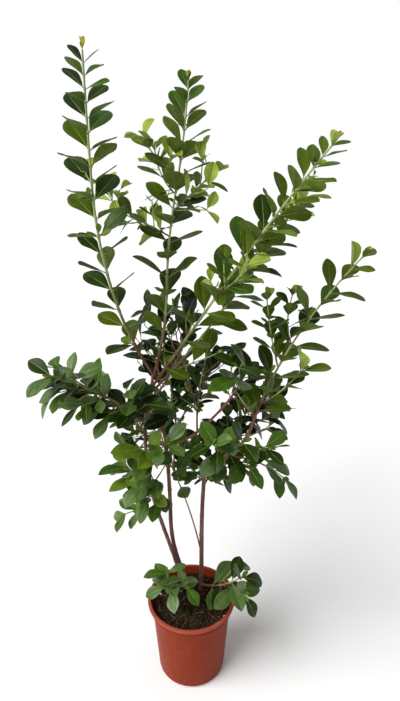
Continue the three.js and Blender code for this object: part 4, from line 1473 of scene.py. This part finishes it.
def make_fibres():
    fibres = Shape()
    for _ in range(FIBRES):
        path = [np.array(place_on_soil())]
        step = looks.between(*FIBRE_LENGTH) / FIBRE_STEPS
        heading = looks.between(0, math.tau)
        curl = looks.between(*FIBRE_CURL)
        for k in range(FIBRE_STEPS):
            a = heading + curl * k / FIBRE_STEPS
            path.append(path[-1] + np.array([math.cos(a), math.sin(a)]) * step)
        path = np.array([p for p in path if np.hypot(*p) < SOIL_RADIUS - FIBRE_EDGE])
        if len(path) < 3:
            continue
        arch = looks.between(*FIBRE_RISE) * np.sin(np.linspace(0, math.pi, len(path)))
        centers = np.column_stack([path, soil_height(*path.T) + FIBRE_LIFT + arch])
        axes = np.gradient(centers, axis=0)
        axes = axes / np.linalg.norm(axes, axis=1)[:, None]
        across = np.cross(axes, (0, 0, 1))
        across = across / np.linalg.norm(across, axis=1)[:, None]
        radii = looks.between(*FIBRE_RADIUS) * np.sin(np.linspace(0.5, math.pi - 0.4, len(path)))
        add_tube(fibres, centers, radii, across, axes, FIBRE_SIDES, 0)
    straw = plain_material("soil_fibre", linear(128, 96, 66), 0.85)
    piece(fibres, "soil_fibres", "soil", [straw])


def make_moss():
    """Small tufts of leaflets, crowded in patches."""
    moss = Shape()
    total = sum(size ** 2 for *_, size in MOSS_PATCHES)
    for cx, cy, size in MOSS_PATCHES:
        for _ in range(int(MOSS_TUFTS * size ** 2 / total)):
            r = size * looks.between(0, 1) ** MOSS_CROWD
            turn = looks.between(0, math.tau)
            x, y = cx + r * math.cos(turn) * MOSS_STRETCH, cy + r * math.sin(turn)
            if math.hypot(x, y) > SOIL_RADIUS - MOSS_EDGE:
                continue
            height = looks.between(*MOSS_HEIGHT)
            width = looks.between(*MOSS_WIDTH)
            a = looks.between(0, math.tau)
            lean = height * looks.between(*MOSS_TILT) * MOSS_LEAN
            foot = np.array([x, y, soil_height(x, y) - 0.5])
            corners = [foot + (width * math.cos(a + t), width * math.sin(a + t), 0) for t in (0, 2.1, 4.2)]
            peak = foot + (lean * math.cos(a), lean * math.sin(a), height)
            slot = int(looks.chance(MOSS_BRIGHT_CHANCE))
            moss.add([*corners, peak], [[(0, 1, 3), (1, 2, 3), (2, 0, 3), (0, 2, 1)]], [slot])
    green = plain_material("moss_green", linear(42, 52, 16), 0.9)
    bright = plain_material("moss_bright", linear(62, 72, 22), 0.9)
    piece(moss, "soil_moss", "soil", [green, bright], 20)


# Surroundings

CAMERA_PLACE = (0.018, -0.854, 1.049)
CAMERA_PITCH = -20.9
CAMERA_LENS = 27.42
FLOOR_HALF = 9
SKY_STRENGTH = 0.36
SUN_STRENGTH = 3.5
SUN_ANGLE = 50
SUN_FROM = (-1.9, -1.1, 1.9)


def make_surroundings():
    h = FLOOR_HALF
    mesh = bpy.data.meshes.new("floor")
    mesh.from_pydata([(-h, -h, 0), (h, -h, 0), (h, h, 0), (-h, h, 0)], [], [(0, 1, 2, 3)])
    floor = Shader("floor_white", 0.9, 0.2)
    floor.colour(linear(254, 254, 254))
    mesh.materials.append(floor.material)
    ground = placed("floor", mesh)
    world = bpy.data.worlds.new("studio")
    world.use_nodes = True
    nodes = world.node_tree.nodes
    sky = nodes["Background"]
    sky.inputs["Strength"].default_value = SKY_STRENGTH
    behind = nodes.new("ShaderNodeBackground")
    for each in (sky, behind):
        each.inputs["Color"].default_value = (1, 1, 1, 1)
    seen = nodes.new("ShaderNodeLightPath")
    either = nodes.new("ShaderNodeMixShader")
    link = world.node_tree.links.new
    link(seen.outputs["Is Camera Ray"], either.inputs["Fac"])
    link(sky.outputs[0], either.inputs[1])
    link(behind.outputs[0], either.inputs[2])
    link(either.outputs[0], nodes["World Output"].inputs["Surface"])
    bpy.context.scene.world = world
    lamp = bpy.data.lights.new("daylight", "SUN")
    lamp.energy = SUN_STRENGTH
    lamp.angle = math.radians(SUN_ANGLE)
    sun = placed("daylight", lamp)
    sun.rotation_euler = (-Vector(SUN_FROM)).to_track_quat("-Z", "Y").to_euler()


def make_camera():
    lens = bpy.data.cameras.new("camera")
    lens.lens = CAMERA_LENS
    lens.sensor_width = 36
    camera = placed("camera", lens)
    camera.location = CAMERA_PLACE
    camera.rotation_euler = (math.radians(90 + CAMERA_PITCH), 0, 0)
    bpy.context.scene.camera = camera


make_camera()
make_surroundings()
make_plant()
make_pot()
make_soil()
bpy.context.scene.view_settings.view_transform = "Standard"
